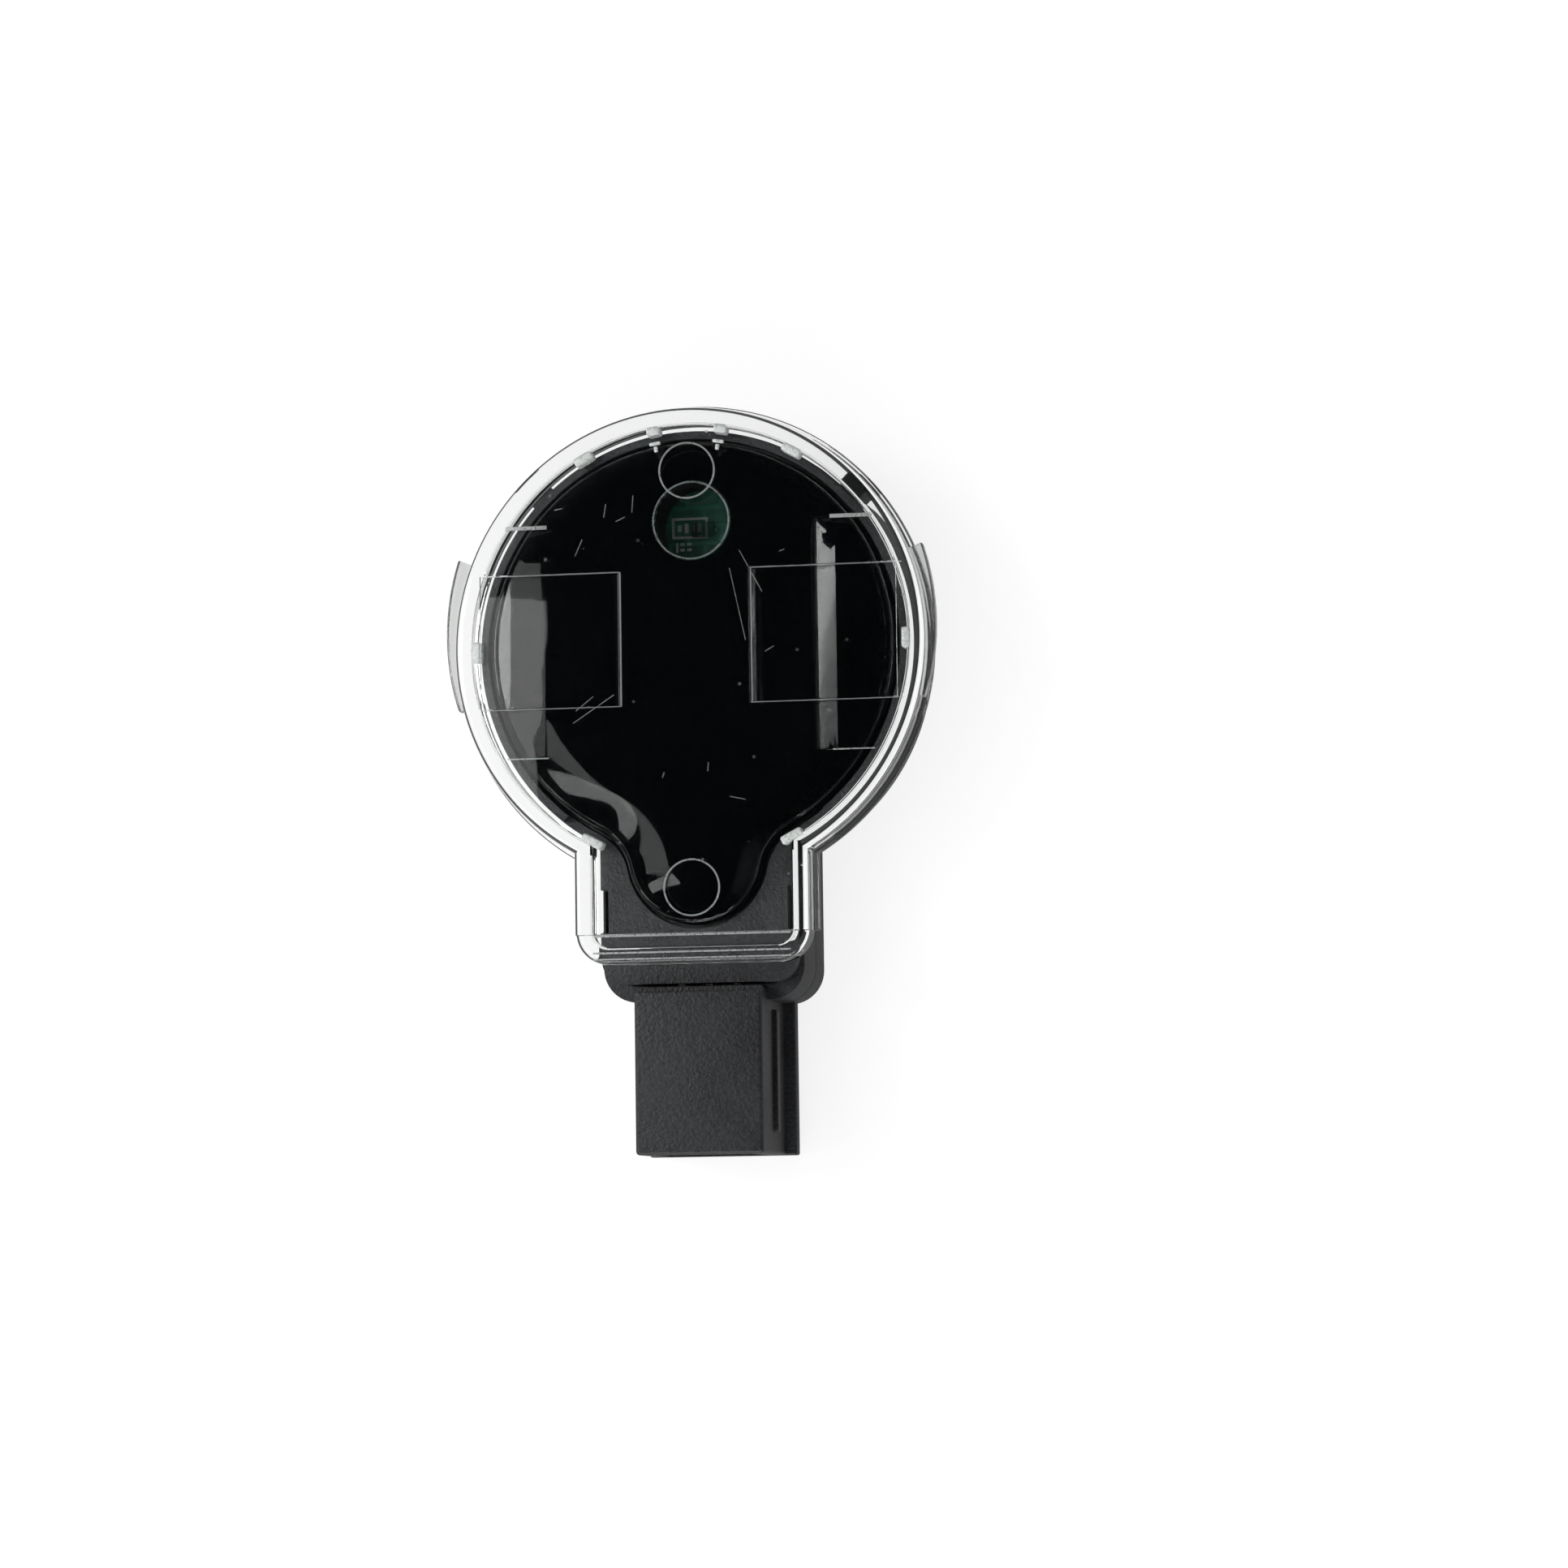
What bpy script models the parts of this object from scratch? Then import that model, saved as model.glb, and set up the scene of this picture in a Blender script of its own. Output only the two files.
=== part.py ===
"""Rain and light sensor for a vehicle windscreen, lying on its back with its optical face up.

A black moulded body, a round head with a neck and a three-pin plug socket, holds a circuit board
with infrared emitters and receivers, their lenses and a baffle. A soft optical pad lies on the
lens plate, and a clear moulded cap protects it until the sensor is fitted.

Metres, +Z out of the optical face, -Y towards the socket. The origin is the centre of the round
head on the flat rear face. The cap lifts straight off along +Z.
"""

from math import acos, asin, atan2, ceil, cos, degrees, radians, sin, sqrt

import bmesh
import bpy

# --- Driving dimensions -------------------------------------------------------------------
GAP = 0.0003  # between pieces that rest on or fit in one another

# Rear housing: a round head with a straight neck.
HEAD_RADIUS = 0.0193
NECK_HALF = 0.0090
NECK_END = 0.0310  # from the head's centre to the end of the neck
NECK_CORNER = 0.0030
HOUSING_HEIGHT = 0.0096
HOUSING_WALL = 0.0014
HOUSING_FLOOR = 0.0016
HOUSING_EDGE = 0.0004

# Front cover, which closes the housing and frames the lens plate.
COVER_THICKNESS = 0.0017
COVER_NECK_INSET = 0.00025
COVER_END_INSET = 0.0015
COVER_CORNER = 0.0022
COVER_LEDGE_THICKNESS = 0.0010
COVER_LEDGE_WIDTH = 0.0013
COVER_SKIRT_DEPTH = 0.0014
COVER_SKIRT_WALL = 0.0010
BORDER_HEIGHT = 0.0008
BORDER_INSET = 0.00015
BORDER_END_ANGLE = -52  # degrees; the raised border stops here on each side of the neck
DETENT_Y = -0.0231
DETENT_LENGTH = 0.0038
DETENT_DEPTH = 0.0007

# Lens plate and optical pad: a round outline that narrows to a lobe in the neck.
PAD_MARGIN = 0.0011
LOBE_RADIUS = 0.0061
LOBE_DROP = 0.0184
PAD_FILLET = 0.0050
LENS_PLATE_THICKNESS = 0.0008
PAD_THICKNESS = 0.0016
PAD_INSET = 0.00015
PAD_EDGE = 0.0005
WINDOW_Y = 0.0112
WINDOW_RADIUS = 0.0033

# Protective cap.
CAP_TOP_THICKNESS = 0.0010
CAP_CLEARANCE = 0.00035
CAP_WALL = 0.0013
CAP_DEPTH = 0.0038
CAP_EDGE = 0.0006
CAP_LIP_WIDTH = 0.00045
CAP_LIP_THICKNESS = 0.0008
CAP_NECK_REACH = 0.0266
CAP_CORNER = 0.0016
CAP_STEP_LENGTH = 0.0013
CAP_STEP_DROP = 0.0004
GRIP_RADIUS = 0.02186
GRIP_RISE = 0.0014  # the grips' arc is centred this far above the head's centre
GRIP_THICKNESS = 0.0012
GRIP_DROP = 0.0008
GRIP_TIP_ANGLE = 18.3
GRIP_FOOT_ANGLE = -17.8
NUB_WIDTH = 0.0012
NUB_DEPTH = 0.0008
NUB_ANGLES = (0, 61, 81, 99, 119, 180)

# Retaining lugs on the head, for the spring clip of the windscreen bracket.
LUG_ANGLES = (45, 135)
LUG_REACH = 0.0014
LUG_WIDTH = 0.0024
LUG_BOTTOM = 0.0048
LUG_TOP = 0.0090

# Plug socket.
SOCKET_HALF = 0.0057
SOCKET_LENGTH = 0.0147
SOCKET_TOP = 0.0126
SOCKET_WALL = 0.0012
SOCKET_FOOT_BOTTOM = 0.0006
SOCKET_FOOT_TOP = 0.0021
SOCKET_FOOT_WIDTH = 0.0010
SOCKET_DEPTH = 0.0121
KEY_RIB_BOTTOM = 0.0064
KEY_RIB_HEIGHT = 0.0012
KEY_RIB_DEPTH = 0.0004
KEY_RIB_SETBACK = 0.0020

# Contact pins.
PIN_COUNT = 3
PIN_SIZE = 0.00064
PIN_PITCH = 0.0025
PIN_Z = 0.0070
PIN_RECESS = 0.0050
PIN_BEND_Y = -0.0252
PIN_TAIL = 0.0010
CARRIER_LENGTH = 0.0017
CARRIER_TOP = 0.0081

# Circuit board.
BOARD_BOTTOM = 0.0046
BOARD_THICKNESS = 0.0010
BOARD_MARGIN = 0.0005
POST_RADIUS = 0.0013
PEG_RADIUS = 0.0008
PEG_LENGTH = 0.0010
PEG_POSTS = ((-0.0115, 0.0110), (0.0115, 0.0110))
PLAIN_POSTS = ((-0.0125, -0.0098), (0.0125, -0.0098), (-0.0056, -0.0232), (0.0056, -0.0232))

# Optics above the board.
OPTIC_X = 0.00925
OPTIC_PAIR_Y = 0.0029
LENS_WIDTH = 0.0069
LENS_HEIGHT = 0.0112
LENS_SLAB = 0.0012
LENS_DOME_RADIUS = 0.0022
LENS_DOME_DEPTH = 0.0016
BAFFLE_WALL = 0.0012
TUBE_WALL = 0.0008

# --- Levels and sizes that follow from them -----------------------------------------------
COVER_BOTTOM = HOUSING_HEIGHT + GAP
COVER_TOP = COVER_BOTTOM + COVER_THICKNESS
LEDGE_TOP = COVER_BOTTOM + COVER_LEDGE_THICKNESS
LENS_PLATE_BOTTOM = LEDGE_TOP + GAP
LENS_PLATE_TOP = LENS_PLATE_BOTTOM + LENS_PLATE_THICKNESS
PAD_BOTTOM = LENS_PLATE_TOP + GAP
PAD_TOP = PAD_BOTTOM + PAD_THICKNESS
CAP_CEILING = PAD_TOP + GAP
CAP_TOP = CAP_CEILING + CAP_TOP_THICKNESS
CAP_BOTTOM = CAP_TOP - CAP_DEPTH
BOARD_TOP = BOARD_BOTTOM + BOARD_THICKNESS
OPTIC_TOP = LENS_PLATE_BOTTOM - GAP

COVER_NECK_HALF = NECK_HALF - COVER_NECK_INSET
COVER_END = NECK_END - COVER_END_INSET
PAD_RADIUS = HEAD_RADIUS - PAD_MARGIN
CAP_INNER_RADIUS = HEAD_RADIUS + CAP_CLEARANCE
CAP_INNER_HALF = COVER_NECK_HALF + CAP_CLEARANCE
SOCKET_START = COVER_END + GAP
SOCKET_END = SOCKET_START + SOCKET_LENGTH
SOCKET_BACK = SOCKET_END - SOCKET_DEPTH

FACET_SAG = 0.000028  # how far an arc's facets may lie inside it
FACET_STEPS = (6, 22.5)  # degrees; the finest and the coarsest facets
OVERRUN = 0.0005  # a cutter runs this far past the face that it cuts

model = bpy.data.collections.new("rain_light_sensor")
helpers = bpy.data.collections.new("cutters")


# --- Outlines -----------------------------------------------------------------------------
def arc(cx, cy, radius, start, end):
    """Points on an arc from start to end, in degrees, with both ends."""
    finest, coarsest = FACET_STEPS
    step = 2 * degrees(acos(1 - FACET_SAG / radius))
    count = max(2, ceil(abs(end - start) / min(max(step, finest), coarsest)))
    angles = [radians(start + (end - start) * i / count) for i in range(count + 1)]
    return [(cx + radius * cos(a), cy + radius * sin(a)) for a in angles]


def keyhole(radius, half_width, end, corner):
    """A round head with a straight neck that ends at y = -end."""
    join = degrees(asin(half_width / radius))
    head = arc(0, 0, radius, join - 90, 270 - join)
    left = arc(corner - half_width, corner - end, corner, 180, 270)
    right = arc(half_width - corner, corner - end, corner, 270, 360)
    return head + left + right


def pad_outline(grow=0.0):
    """The optical pad: a round head joined by hollow fillets to a lobe, grown all round by grow."""
    to_head = PAD_RADIUS + PAD_FILLET
    to_lobe = LOBE_RADIUS + PAD_FILLET
    y = (to_lobe**2 - to_head**2 - LOBE_DROP**2) / (2 * LOBE_DROP)
    x = sqrt(to_head**2 - y**2)
    head_angle = degrees(atan2(y, x))
    lobe_angle = degrees(atan2(y + LOBE_DROP, x))
    head = arc(0, 0, PAD_RADIUS + grow, head_angle, 180 - head_angle)
    left = arc(-x, y, PAD_FILLET - grow, -head_angle, -lobe_angle)
    lobe = arc(0, -LOBE_DROP, LOBE_RADIUS + grow, 180 - lobe_angle, 360 + lobe_angle)
    right = arc(x, y, PAD_FILLET - grow, 180 + lobe_angle, 180 + head_angle)
    return head + left[1:-1] + lobe + right[1:-1]


def circle(cx, cy, radius):
    return arc(cx, cy, radius, 0, 360)[:-1]


def rectangle(low_x, low_y, high_x, high_y):
    return [(low_x, low_y), (high_x, low_y), (high_x, high_y), (low_x, high_y)]


# --- Solids -------------------------------------------------------------------------------
def add_mesh_object(name, mesh, location):
    obj = bpy.data.objects.new(name, mesh)
    obj.location = location
    model.objects.link(obj)
    return obj


def plate(name, outline, bottom, top, holes=()):
    """A flat outline, with any holes, made solid from bottom to top."""
    curve = bpy.data.curves.new(name, "CURVE")
    curve.dimensions = "2D"
    curve.fill_mode = "BOTH"
    curve.extrude = (top - bottom) / 2
    for points in (outline, *holes):
        spline = curve.splines.new("POLY")
        spline.points.add(len(points) - 1)
        for point, (x, y) in zip(spline.points, points):
            point.co = (x, y, 0, 1)
        spline.use_cyclic_u = True
    guide = bpy.data.objects.new(name + "_outline", curve)
    model.objects.link(guide)
    graph = bpy.context.evaluated_depsgraph_get()
    mesh = bpy.data.meshes.new_from_object(guide.evaluated_get(graph))
    bpy.data.objects.remove(guide)
    mesh.name = name
    tidy = bmesh.new()
    tidy.from_mesh(mesh)
    bmesh.ops.remove_doubles(tidy, verts=tidy.verts, dist=1e-7)
    bmesh.ops.recalc_face_normals(tidy, faces=tidy.faces)
    tidy.to_mesh(mesh)
    tidy.free()
    return add_mesh_object(name, mesh, (0, 0, (bottom + top) / 2))


def box(name, low, high):
    """A block between two opposite corners."""
    mesh = bpy.data.meshes.new(name)
    cube = bmesh.new()
    bmesh.ops.create_cube(cube, size=1)
    bmesh.ops.scale(cube, vec=[b - a for a, b in zip(low, high)], verts=cube.verts)
    cube.to_mesh(mesh)
    cube.free()
    return add_mesh_object(name, mesh, [(a + b) / 2 for a, b in zip(low, high)])


def dome(name, centre, radius, depth, sides=16):
    """A round lens on a flat back at centre, bulging by depth, downwards where depth is negative."""
    mesh = bpy.data.meshes.new(name)
    ball = bmesh.new()
    bmesh.ops.create_uvsphere(ball, u_segments=sides, v_segments=sides // 2, radius=radius)
    whole = ball.verts[:] + ball.edges[:] + ball.faces[:]
    bmesh.ops.bisect_plane(
        ball, geom=whole, plane_co=(0, 0, 0), plane_no=(0, 0, 1), clear_inner=True
    )
    rim = [edge for edge in ball.edges if edge.is_boundary]
    bmesh.ops.edgeloop_fill(ball, edges=rim)
    bmesh.ops.scale(ball, vec=(1, 1, depth / radius), verts=ball.verts)
    bmesh.ops.recalc_face_normals(ball, faces=ball.faces)
    ball.to_mesh(mesh)
    ball.free()
    return add_mesh_object(name, mesh, centre)


def round_edges(obj, width, segments=2):
    """Rounds the edges of a plate or block, and leaves the joints between an arc's facets."""
    bevel = obj.modifiers.new("rounded_edges", "BEVEL")
    bevel.width = width
    bevel.segments = segments
    bevel.limit_method = "ANGLE"
    bevel.angle_limit = radians(50)


def as_helper(obj):
    model.objects.unlink(obj)
    helpers.objects.link(obj)
    obj.hide_render = True
    obj.display_type = "WIRE"


def combine(obj, operation, others):
    for other in others:
        boolean = obj.modifiers.new(operation.lower(), "BOOLEAN")
        boolean.operation = operation
        boolean.object = other
        as_helper(other)


def cut(obj, *cutters):
    combine(obj, "DIFFERENCE", cutters)


def join(obj, *additions):
    combine(obj, "UNION", additions)


def turned_box(name, angle, inner, outer, width, bottom, top):
    """A block that points outwards from the head's axis at an angle in degrees."""
    block = box(name, (inner, -width / 2, bottom), (outer, width / 2, top))
    middle = (inner + outer) / 2
    block.location = (
        middle * cos(radians(angle)),
        middle * sin(radians(angle)),
        (bottom + top) / 2,
    )
    block.rotation_euler.z = radians(angle)
    return block


def finish(obj, colour, roughness, metallic=0.0, see_through=0.0, parent=None):
    """Gives a piece its material, smooth round faces and its parent."""
    material = bpy.data.materials.new(obj.name)
    material.use_nodes = True
    shader = material.node_tree.nodes["Principled BSDF"]
    shader.inputs["Base Color"].default_value = (*colour, 1)
    shader.inputs["Roughness"].default_value = roughness
    shader.inputs["Metallic"].default_value = metallic
    shader.inputs["Transmission Weight"].default_value = see_through
    obj.data.materials.append(material)
    obj.data.shade_smooth()
    obj.data.set_sharp_from_angle(angle=radians(30))
    obj.parent = parent
    return obj


BLACK_PLASTIC = (0.030, 0.031, 0.036)
GLOSS_BLACK = (0.004, 0.004, 0.005)
CLEAR = (0.93, 0.95, 0.95)
BOARD_GREEN = (0.010, 0.090, 0.065)
CHIP_BLACK = (0.012, 0.012, 0.013)
CERAMIC_TAN = (0.33, 0.22, 0.13)
TIN = (0.62, 0.61, 0.58)


# --- Body ---------------------------------------------------------------------------------
def cavity_outline(inset=0.0):
    """The inside of the housing's wall, drawn in by inset."""
    shrink = HOUSING_WALL + inset
    corner = NECK_CORNER - shrink if NECK_CORNER > shrink * 1.3 else shrink * 0.3
    return keyhole(HEAD_RADIUS - shrink, NECK_HALF - shrink, NECK_END - shrink, corner)


def pin_places():
    middle = (PIN_COUNT - 1) / 2
    return [(i - middle) * PIN_PITCH for i in range(PIN_COUNT)]


def pin_slot(name, x, near_y, far_y):
    """A square hole along Y for one contact pin."""
    half = PIN_SIZE / 2 + GAP
    return box(name, (x - half, far_y, PIN_Z - half), (x + half, near_y, PIN_Z + half))


def detent_cutters(name, bottom, top):
    """The two slots in the neck's edges that the bracket's clip snaps into."""
    inner = COVER_NECK_HALF - DETENT_DEPTH
    outer = NECK_HALF + OVERRUN
    low_y = DETENT_Y - DETENT_LENGTH / 2
    high_y = DETENT_Y + DETENT_LENGTH / 2
    left = box(name + "_left", (-outer, low_y, bottom), (-inner, high_y, top))
    right = box(name + "_right", (inner, low_y, bottom), (outer, high_y, top))
    return left, right


def rear_housing(parent):
    outline = keyhole(HEAD_RADIUS, NECK_HALF, NECK_END, NECK_CORNER)
    housing = plate("rear_housing", outline, 0, HOUSING_HEIGHT)
    round_edges(housing, HOUSING_EDGE)

    cavity_top = HOUSING_HEIGHT + OVERRUN
    cut(housing, plate("cavity", cavity_outline(), HOUSING_FLOOR, cavity_top))

    post_top = BOARD_BOTTOM - GAP
    sunk = HOUSING_FLOOR / 2
    for i, (x, y) in enumerate(PEG_POSTS + PLAIN_POSTS):
        join(housing, plate(f"post_{i + 1}", circle(x, y, POST_RADIUS), sunk, post_top))
    for i, (x, y) in enumerate(PEG_POSTS):
        peg_top = BOARD_TOP + PEG_LENGTH
        join(housing, plate(f"peg_{i + 1}", circle(x, y, PEG_RADIUS), sunk, peg_top))

    for angle in LUG_ANGLES:
        inner = HEAD_RADIUS - HOUSING_WALL / 2
        outer = HEAD_RADIUS + LUG_REACH
        lug = turned_box(f"lug_{angle}", angle, inner, outer, LUG_WIDTH, LUG_BOTTOM, LUG_TOP)
        join(housing, lug)

    foot_half = SOCKET_HALF + SOCKET_FOOT_WIDTH
    foot = box(
        "socket_foot",
        (-foot_half, -SOCKET_END, SOCKET_FOOT_BOTTOM),
        (foot_half, -SOCKET_START, SOCKET_FOOT_TOP),
    )
    shroud = box(
        "socket_shroud",
        (-SOCKET_HALF, -SOCKET_END, (SOCKET_FOOT_BOTTOM + SOCKET_FOOT_TOP) / 2),
        (SOCKET_HALF, -SOCKET_START, SOCKET_TOP),
    )
    key_rib = box(
        "key_rib",
        (SOCKET_HALF - SOCKET_WALL / 2, KEY_RIB_SETBACK - SOCKET_END, KEY_RIB_BOTTOM),
        (
            SOCKET_HALF + KEY_RIB_DEPTH,
            -SOCKET_START - KEY_RIB_SETBACK,
            KEY_RIB_BOTTOM + KEY_RIB_HEIGHT,
        ),
    )
    join(housing, foot, shroud, key_rib)

    inside_half = SOCKET_HALF - SOCKET_WALL
    socket = box(
        "socket_hollow",
        (-inside_half, -SOCKET_END - OVERRUN, SOCKET_FOOT_TOP + SOCKET_WALL),
        (inside_half, -SOCKET_BACK, SOCKET_TOP - SOCKET_WALL),
    )
    cut(housing, socket)
    for i, x in enumerate(pin_places()):
        cavity_y = HOUSING_WALL + OVERRUN - NECK_END
        cut(housing, pin_slot(f"wall_slot_{i + 1}", x, cavity_y, -SOCKET_BACK - OVERRUN))
    cut(housing, *detent_cutters("housing_detent", HOUSING_HEIGHT * 0.65, cavity_top))
    return finish(housing, BLACK_PLASTIC, 0.55, parent=parent)


def front_cover(parent):
    outline = keyhole(HEAD_RADIUS, COVER_NECK_HALF, COVER_END, COVER_CORNER)
    cover = plate("front_cover", outline, COVER_BOTTOM, COVER_TOP)
    round_edges(cover, HOUSING_EDGE)

    end_angle = 180 - BORDER_END_ANGLE
    outer = arc(0, 0, HEAD_RADIUS - BORDER_INSET, BORDER_END_ANGLE, end_angle)
    inner = arc(0, 0, PAD_RADIUS - GAP, end_angle, BORDER_END_ANGLE)
    root = COVER_BOTTOM + COVER_LEDGE_THICKNESS / 2
    border = plate("border", outer + inner, root, COVER_TOP + BORDER_HEIGHT)
    join(cover, border)

    skirt_bottom = COVER_BOTTOM - COVER_SKIRT_DEPTH
    skirt = plate(
        "skirt",
        cavity_outline(GAP),
        skirt_bottom,
        COVER_BOTTOM + COVER_LEDGE_THICKNESS / 3,
        holes=[cavity_outline(GAP + COVER_SKIRT_WALL)],
    )
    join(cover, skirt)

    recess_top = COVER_TOP + BORDER_HEIGHT + OVERRUN
    cut(cover, plate("recess", pad_outline(GAP), LEDGE_TOP, recess_top))
    opening = pad_outline(-COVER_LEDGE_WIDTH)
    cut(cover, plate("opening", opening, skirt_bottom - OVERRUN, LEDGE_TOP + OVERRUN))
    cut(cover, *detent_cutters("cover_detent", COVER_BOTTOM - OVERRUN, COVER_TOP + OVERRUN))
    return finish(cover, BLACK_PLASTIC, 0.50, parent=parent)


def lens_plate(parent):
    hole = circle(0, WINDOW_Y, WINDOW_RADIUS + GAP)
    optic = plate("lens_plate", pad_outline(), LENS_PLATE_BOTTOM, LENS_PLATE_TOP, [hole])
    return finish(optic, GLOSS_BLACK, 0.06, parent=parent)


def ambient_window(parent):
    outline = circle(0, WINDOW_Y, WINDOW_RADIUS)
    window = plate("ambient_window", outline, LENS_PLATE_BOTTOM, LENS_PLATE_TOP)
    return finish(window, CLEAR, 0.05, see_through=1.0, parent=parent)


def optical_pad(parent):
    pad = plate("optical_pad", pad_outline(-PAD_INSET), PAD_BOTTOM, PAD_TOP)
    round_edges(pad, PAD_EDGE)
    return finish(pad, CLEAR, 0.08, see_through=1.0, parent=parent)


# --- Optics -------------------------------------------------------------------------------
def lens_bar(name, side, parent):
    """A clear slab with two domes beneath it, over the emitters or the receivers."""
    low_x = side * OPTIC_X - LENS_WIDTH / 2
    high_x = side * OPTIC_X + LENS_WIDTH / 2
    slab_bottom = OPTIC_TOP - LENS_SLAB
    half = LENS_HEIGHT / 2
    bar = box(name, (low_x, -half, slab_bottom), (high_x, half, OPTIC_TOP))
    for i, y in enumerate((OPTIC_PAIR_Y, -OPTIC_PAIR_Y)):
        centre = (side * OPTIC_X, y, slab_bottom + GAP)
        join(bar, dome(f"{name}_dome_{i + 1}", centre, LENS_DOME_RADIUS, -LENS_DOME_DEPTH))
    return finish(bar, CLEAR, 0.05, see_through=1.0, parent=parent)


def light_baffle(parent):
    """Walls that keep each light path to itself, with a tube under the ambient window."""
    bottom = BOARD_TOP + GAP
    hole_low = OPTIC_X - LENS_WIDTH / 2 - GAP
    hole_high = OPTIC_X + LENS_WIDTH / 2 + GAP
    hole_half = LENS_HEIGHT / 2 + GAP
    frame_x = hole_high + BAFFLE_WALL
    frame_y = hole_half + BAFFLE_WALL
    middle = hole_low - BAFFLE_WALL
    holes = [
        rectangle(-hole_high, -hole_half, -hole_low, hole_half),
        rectangle(-middle, -hole_half, middle, hole_half),
        rectangle(hole_low, -hole_half, hole_high, hole_half),
    ]
    outline = rectangle(-frame_x, -frame_y, frame_x, frame_y)
    baffle = plate("light_baffle", outline, bottom, OPTIC_TOP, holes)
    bore = WINDOW_RADIUS + GAP
    tube = plate("tube", circle(0, WINDOW_Y, bore + TUBE_WALL), bottom, OPTIC_TOP)
    join(baffle, tube)
    bore_outline = circle(0, WINDOW_Y, bore)
    cut(baffle, plate("tube_bore", bore_outline, bottom - OVERRUN, OPTIC_TOP + OVERRUN))
    return finish(baffle, CHIP_BLACK, 0.6, parent=parent)


# --- Electronics --------------------------------------------------------------------------
def circuit_board(parent):
    holes = [circle(x, y, PEG_RADIUS + GAP) for x, y in PEG_POSTS]
    holes += [circle(x, PIN_BEND_Y, PIN_SIZE / sqrt(2) + GAP) for x in pin_places()]
    outline = cavity_outline(BOARD_MARGIN)
    board = plate("circuit_board", outline, BOARD_BOTTOM, BOARD_TOP, holes)
    return finish(board, BOARD_GREEN, 0.35, parent=parent)


def component(name, x, y, size, face, colour, roughness, metallic, parent):
    """A soldered part, size being its width, length and height, on the board's top or underside."""
    width, length, height = size
    bottom = BOARD_TOP + GAP if face == "top" else BOARD_BOTTOM - GAP - height
    low = (x - width / 2, y - length / 2, bottom)
    high = (x + width / 2, y + length / 2, bottom + height)
    body = box(name, low, high)
    round_edges(body, min(size) * 0.08, segments=1)
    return finish(body, colour, roughness, metallic, parent=parent)


def infrared_leds(parent):
    for i, y in enumerate((OPTIC_PAIR_Y, -OPTIC_PAIR_Y)):
        name = f"infrared_led_{i + 1}"
        led = component(
            name, -OPTIC_X, y, (0.0020, 0.0016, 0.0008), "top", CLEAR, 0.2, 0, parent
        )
        centre = (-OPTIC_X, y, BOARD_TOP + GAP + 0.0007)
        join(led, dome(name + "_dome", centre, 0.0007, 0.0007, sides=10))


def light_detectors(parent):
    die = (0.0030, 0.0026, 0.0009)
    for i, y in enumerate((OPTIC_PAIR_Y, -OPTIC_PAIR_Y)):
        name = f"photodiode_{i + 1}"
        component(name, OPTIC_X, y, die, "top", CHIP_BLACK, 0.15, 0, parent)
    sensor = (0.0020, 0.0013, 0.0007)
    component("ambient_light_sensor", 0, WINDOW_Y, sensor, "top", CHIP_BLACK, 0.2, 0, parent)


def integrated_circuits(parent):
    chips = (
        ("microcontroller", 0, 0.0000, (0.0070, 0.0070, 0.0010)),
        ("bus_transceiver", -0.0028, -0.0125, (0.0050, 0.0040, 0.0014)),
        ("voltage_regulator", 0.0040, -0.0125, (0.0046, 0.0036, 0.0016)),
        ("reverse_polarity_diode", 0.0000, -0.0185, (0.0044, 0.0026, 0.0020)),
    )
    for name, x, y, size in chips:
        component(name, x, y, size, "underside", CHIP_BLACK, 0.45, 0, parent)
    clock = (0.0032, 0.0013, 0.0009)
    component("resonator", 0, 0.0062, clock, "underside", TIN, 0.3, 1, parent)


def capacitors(parent):
    size = (0.0016, 0.0008, 0.0008)
    places = ((-0.0062, 0.0020), (0.0062, 0.0020), (-0.0062, -0.0030), (0.0062, -0.0030))
    for i, (x, y) in enumerate(places):
        component(f"capacitor_{i + 1}", x, y, size, "underside", CERAMIC_TAN, 0.5, 0, parent)
    bulk = (0.0032, 0.0025, 0.0020)
    component("supply_capacitor", 0, -0.0219, bulk, "underside", CERAMIC_TAN, 0.5, 0, parent)


def resistors(parent):
    size = (0.0016, 0.0008, 0.0005)
    for i in range(6):
        x = (i % 3 - 1) * 0.0030
        y = -0.0130 - 0.0030 * (i // 3)
        component(f"resistor_{i + 1}", x, y, size, "top", CHIP_BLACK, 0.4, 0, parent)


def contact_pins(parent):
    """Bent square pins: a chamfered tip in the socket and a tail through the board."""
    half = PIN_SIZE / 2
    tip = PIN_RECESS - SOCKET_END
    low, high = PIN_Z - half, PIN_Z + half
    tail_low = BOARD_BOTTOM - PIN_TAIL
    near, far = PIN_BEND_Y + half, PIN_BEND_Y - half
    chamfer = PIN_SIZE
    side_view = [
        (tip, PIN_Z - half / 2),
        (tip + chamfer, low),
        (far, low),
        (far, tail_low),
        (near, tail_low),
        (near, high),
        (tip + chamfer, high),
        (tip, PIN_Z + half / 2),
    ]
    for i, x in enumerate(pin_places()):
        pin = plate(f"contact_pin_{i + 1}", side_view, -half, half)
        pin.rotation_euler = (radians(90), 0, radians(90))
        pin.location.x = x
        finish(pin, TIN, 0.25, 1.0, parent=parent)


def pin_carrier(parent):
    """The moulded block that holds the pins in line where they leave the board."""
    half = PIN_PITCH * (PIN_COUNT - 1) / 2 + PIN_SIZE * 2.5
    wall_y = HOUSING_WALL - NECK_END
    low_y = wall_y + GAP
    high_y = low_y + CARRIER_LENGTH
    carrier = box("pin_carrier", (-half, low_y, BOARD_TOP + GAP), (half, high_y, CARRIER_TOP))
    for i, x in enumerate(pin_places()):
        cut(carrier, pin_slot(f"carrier_slot_{i + 1}", x, high_y + OVERRUN, low_y - OVERRUN))
    return finish(carrier, CHIP_BLACK, 0.5, parent=parent)


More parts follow.
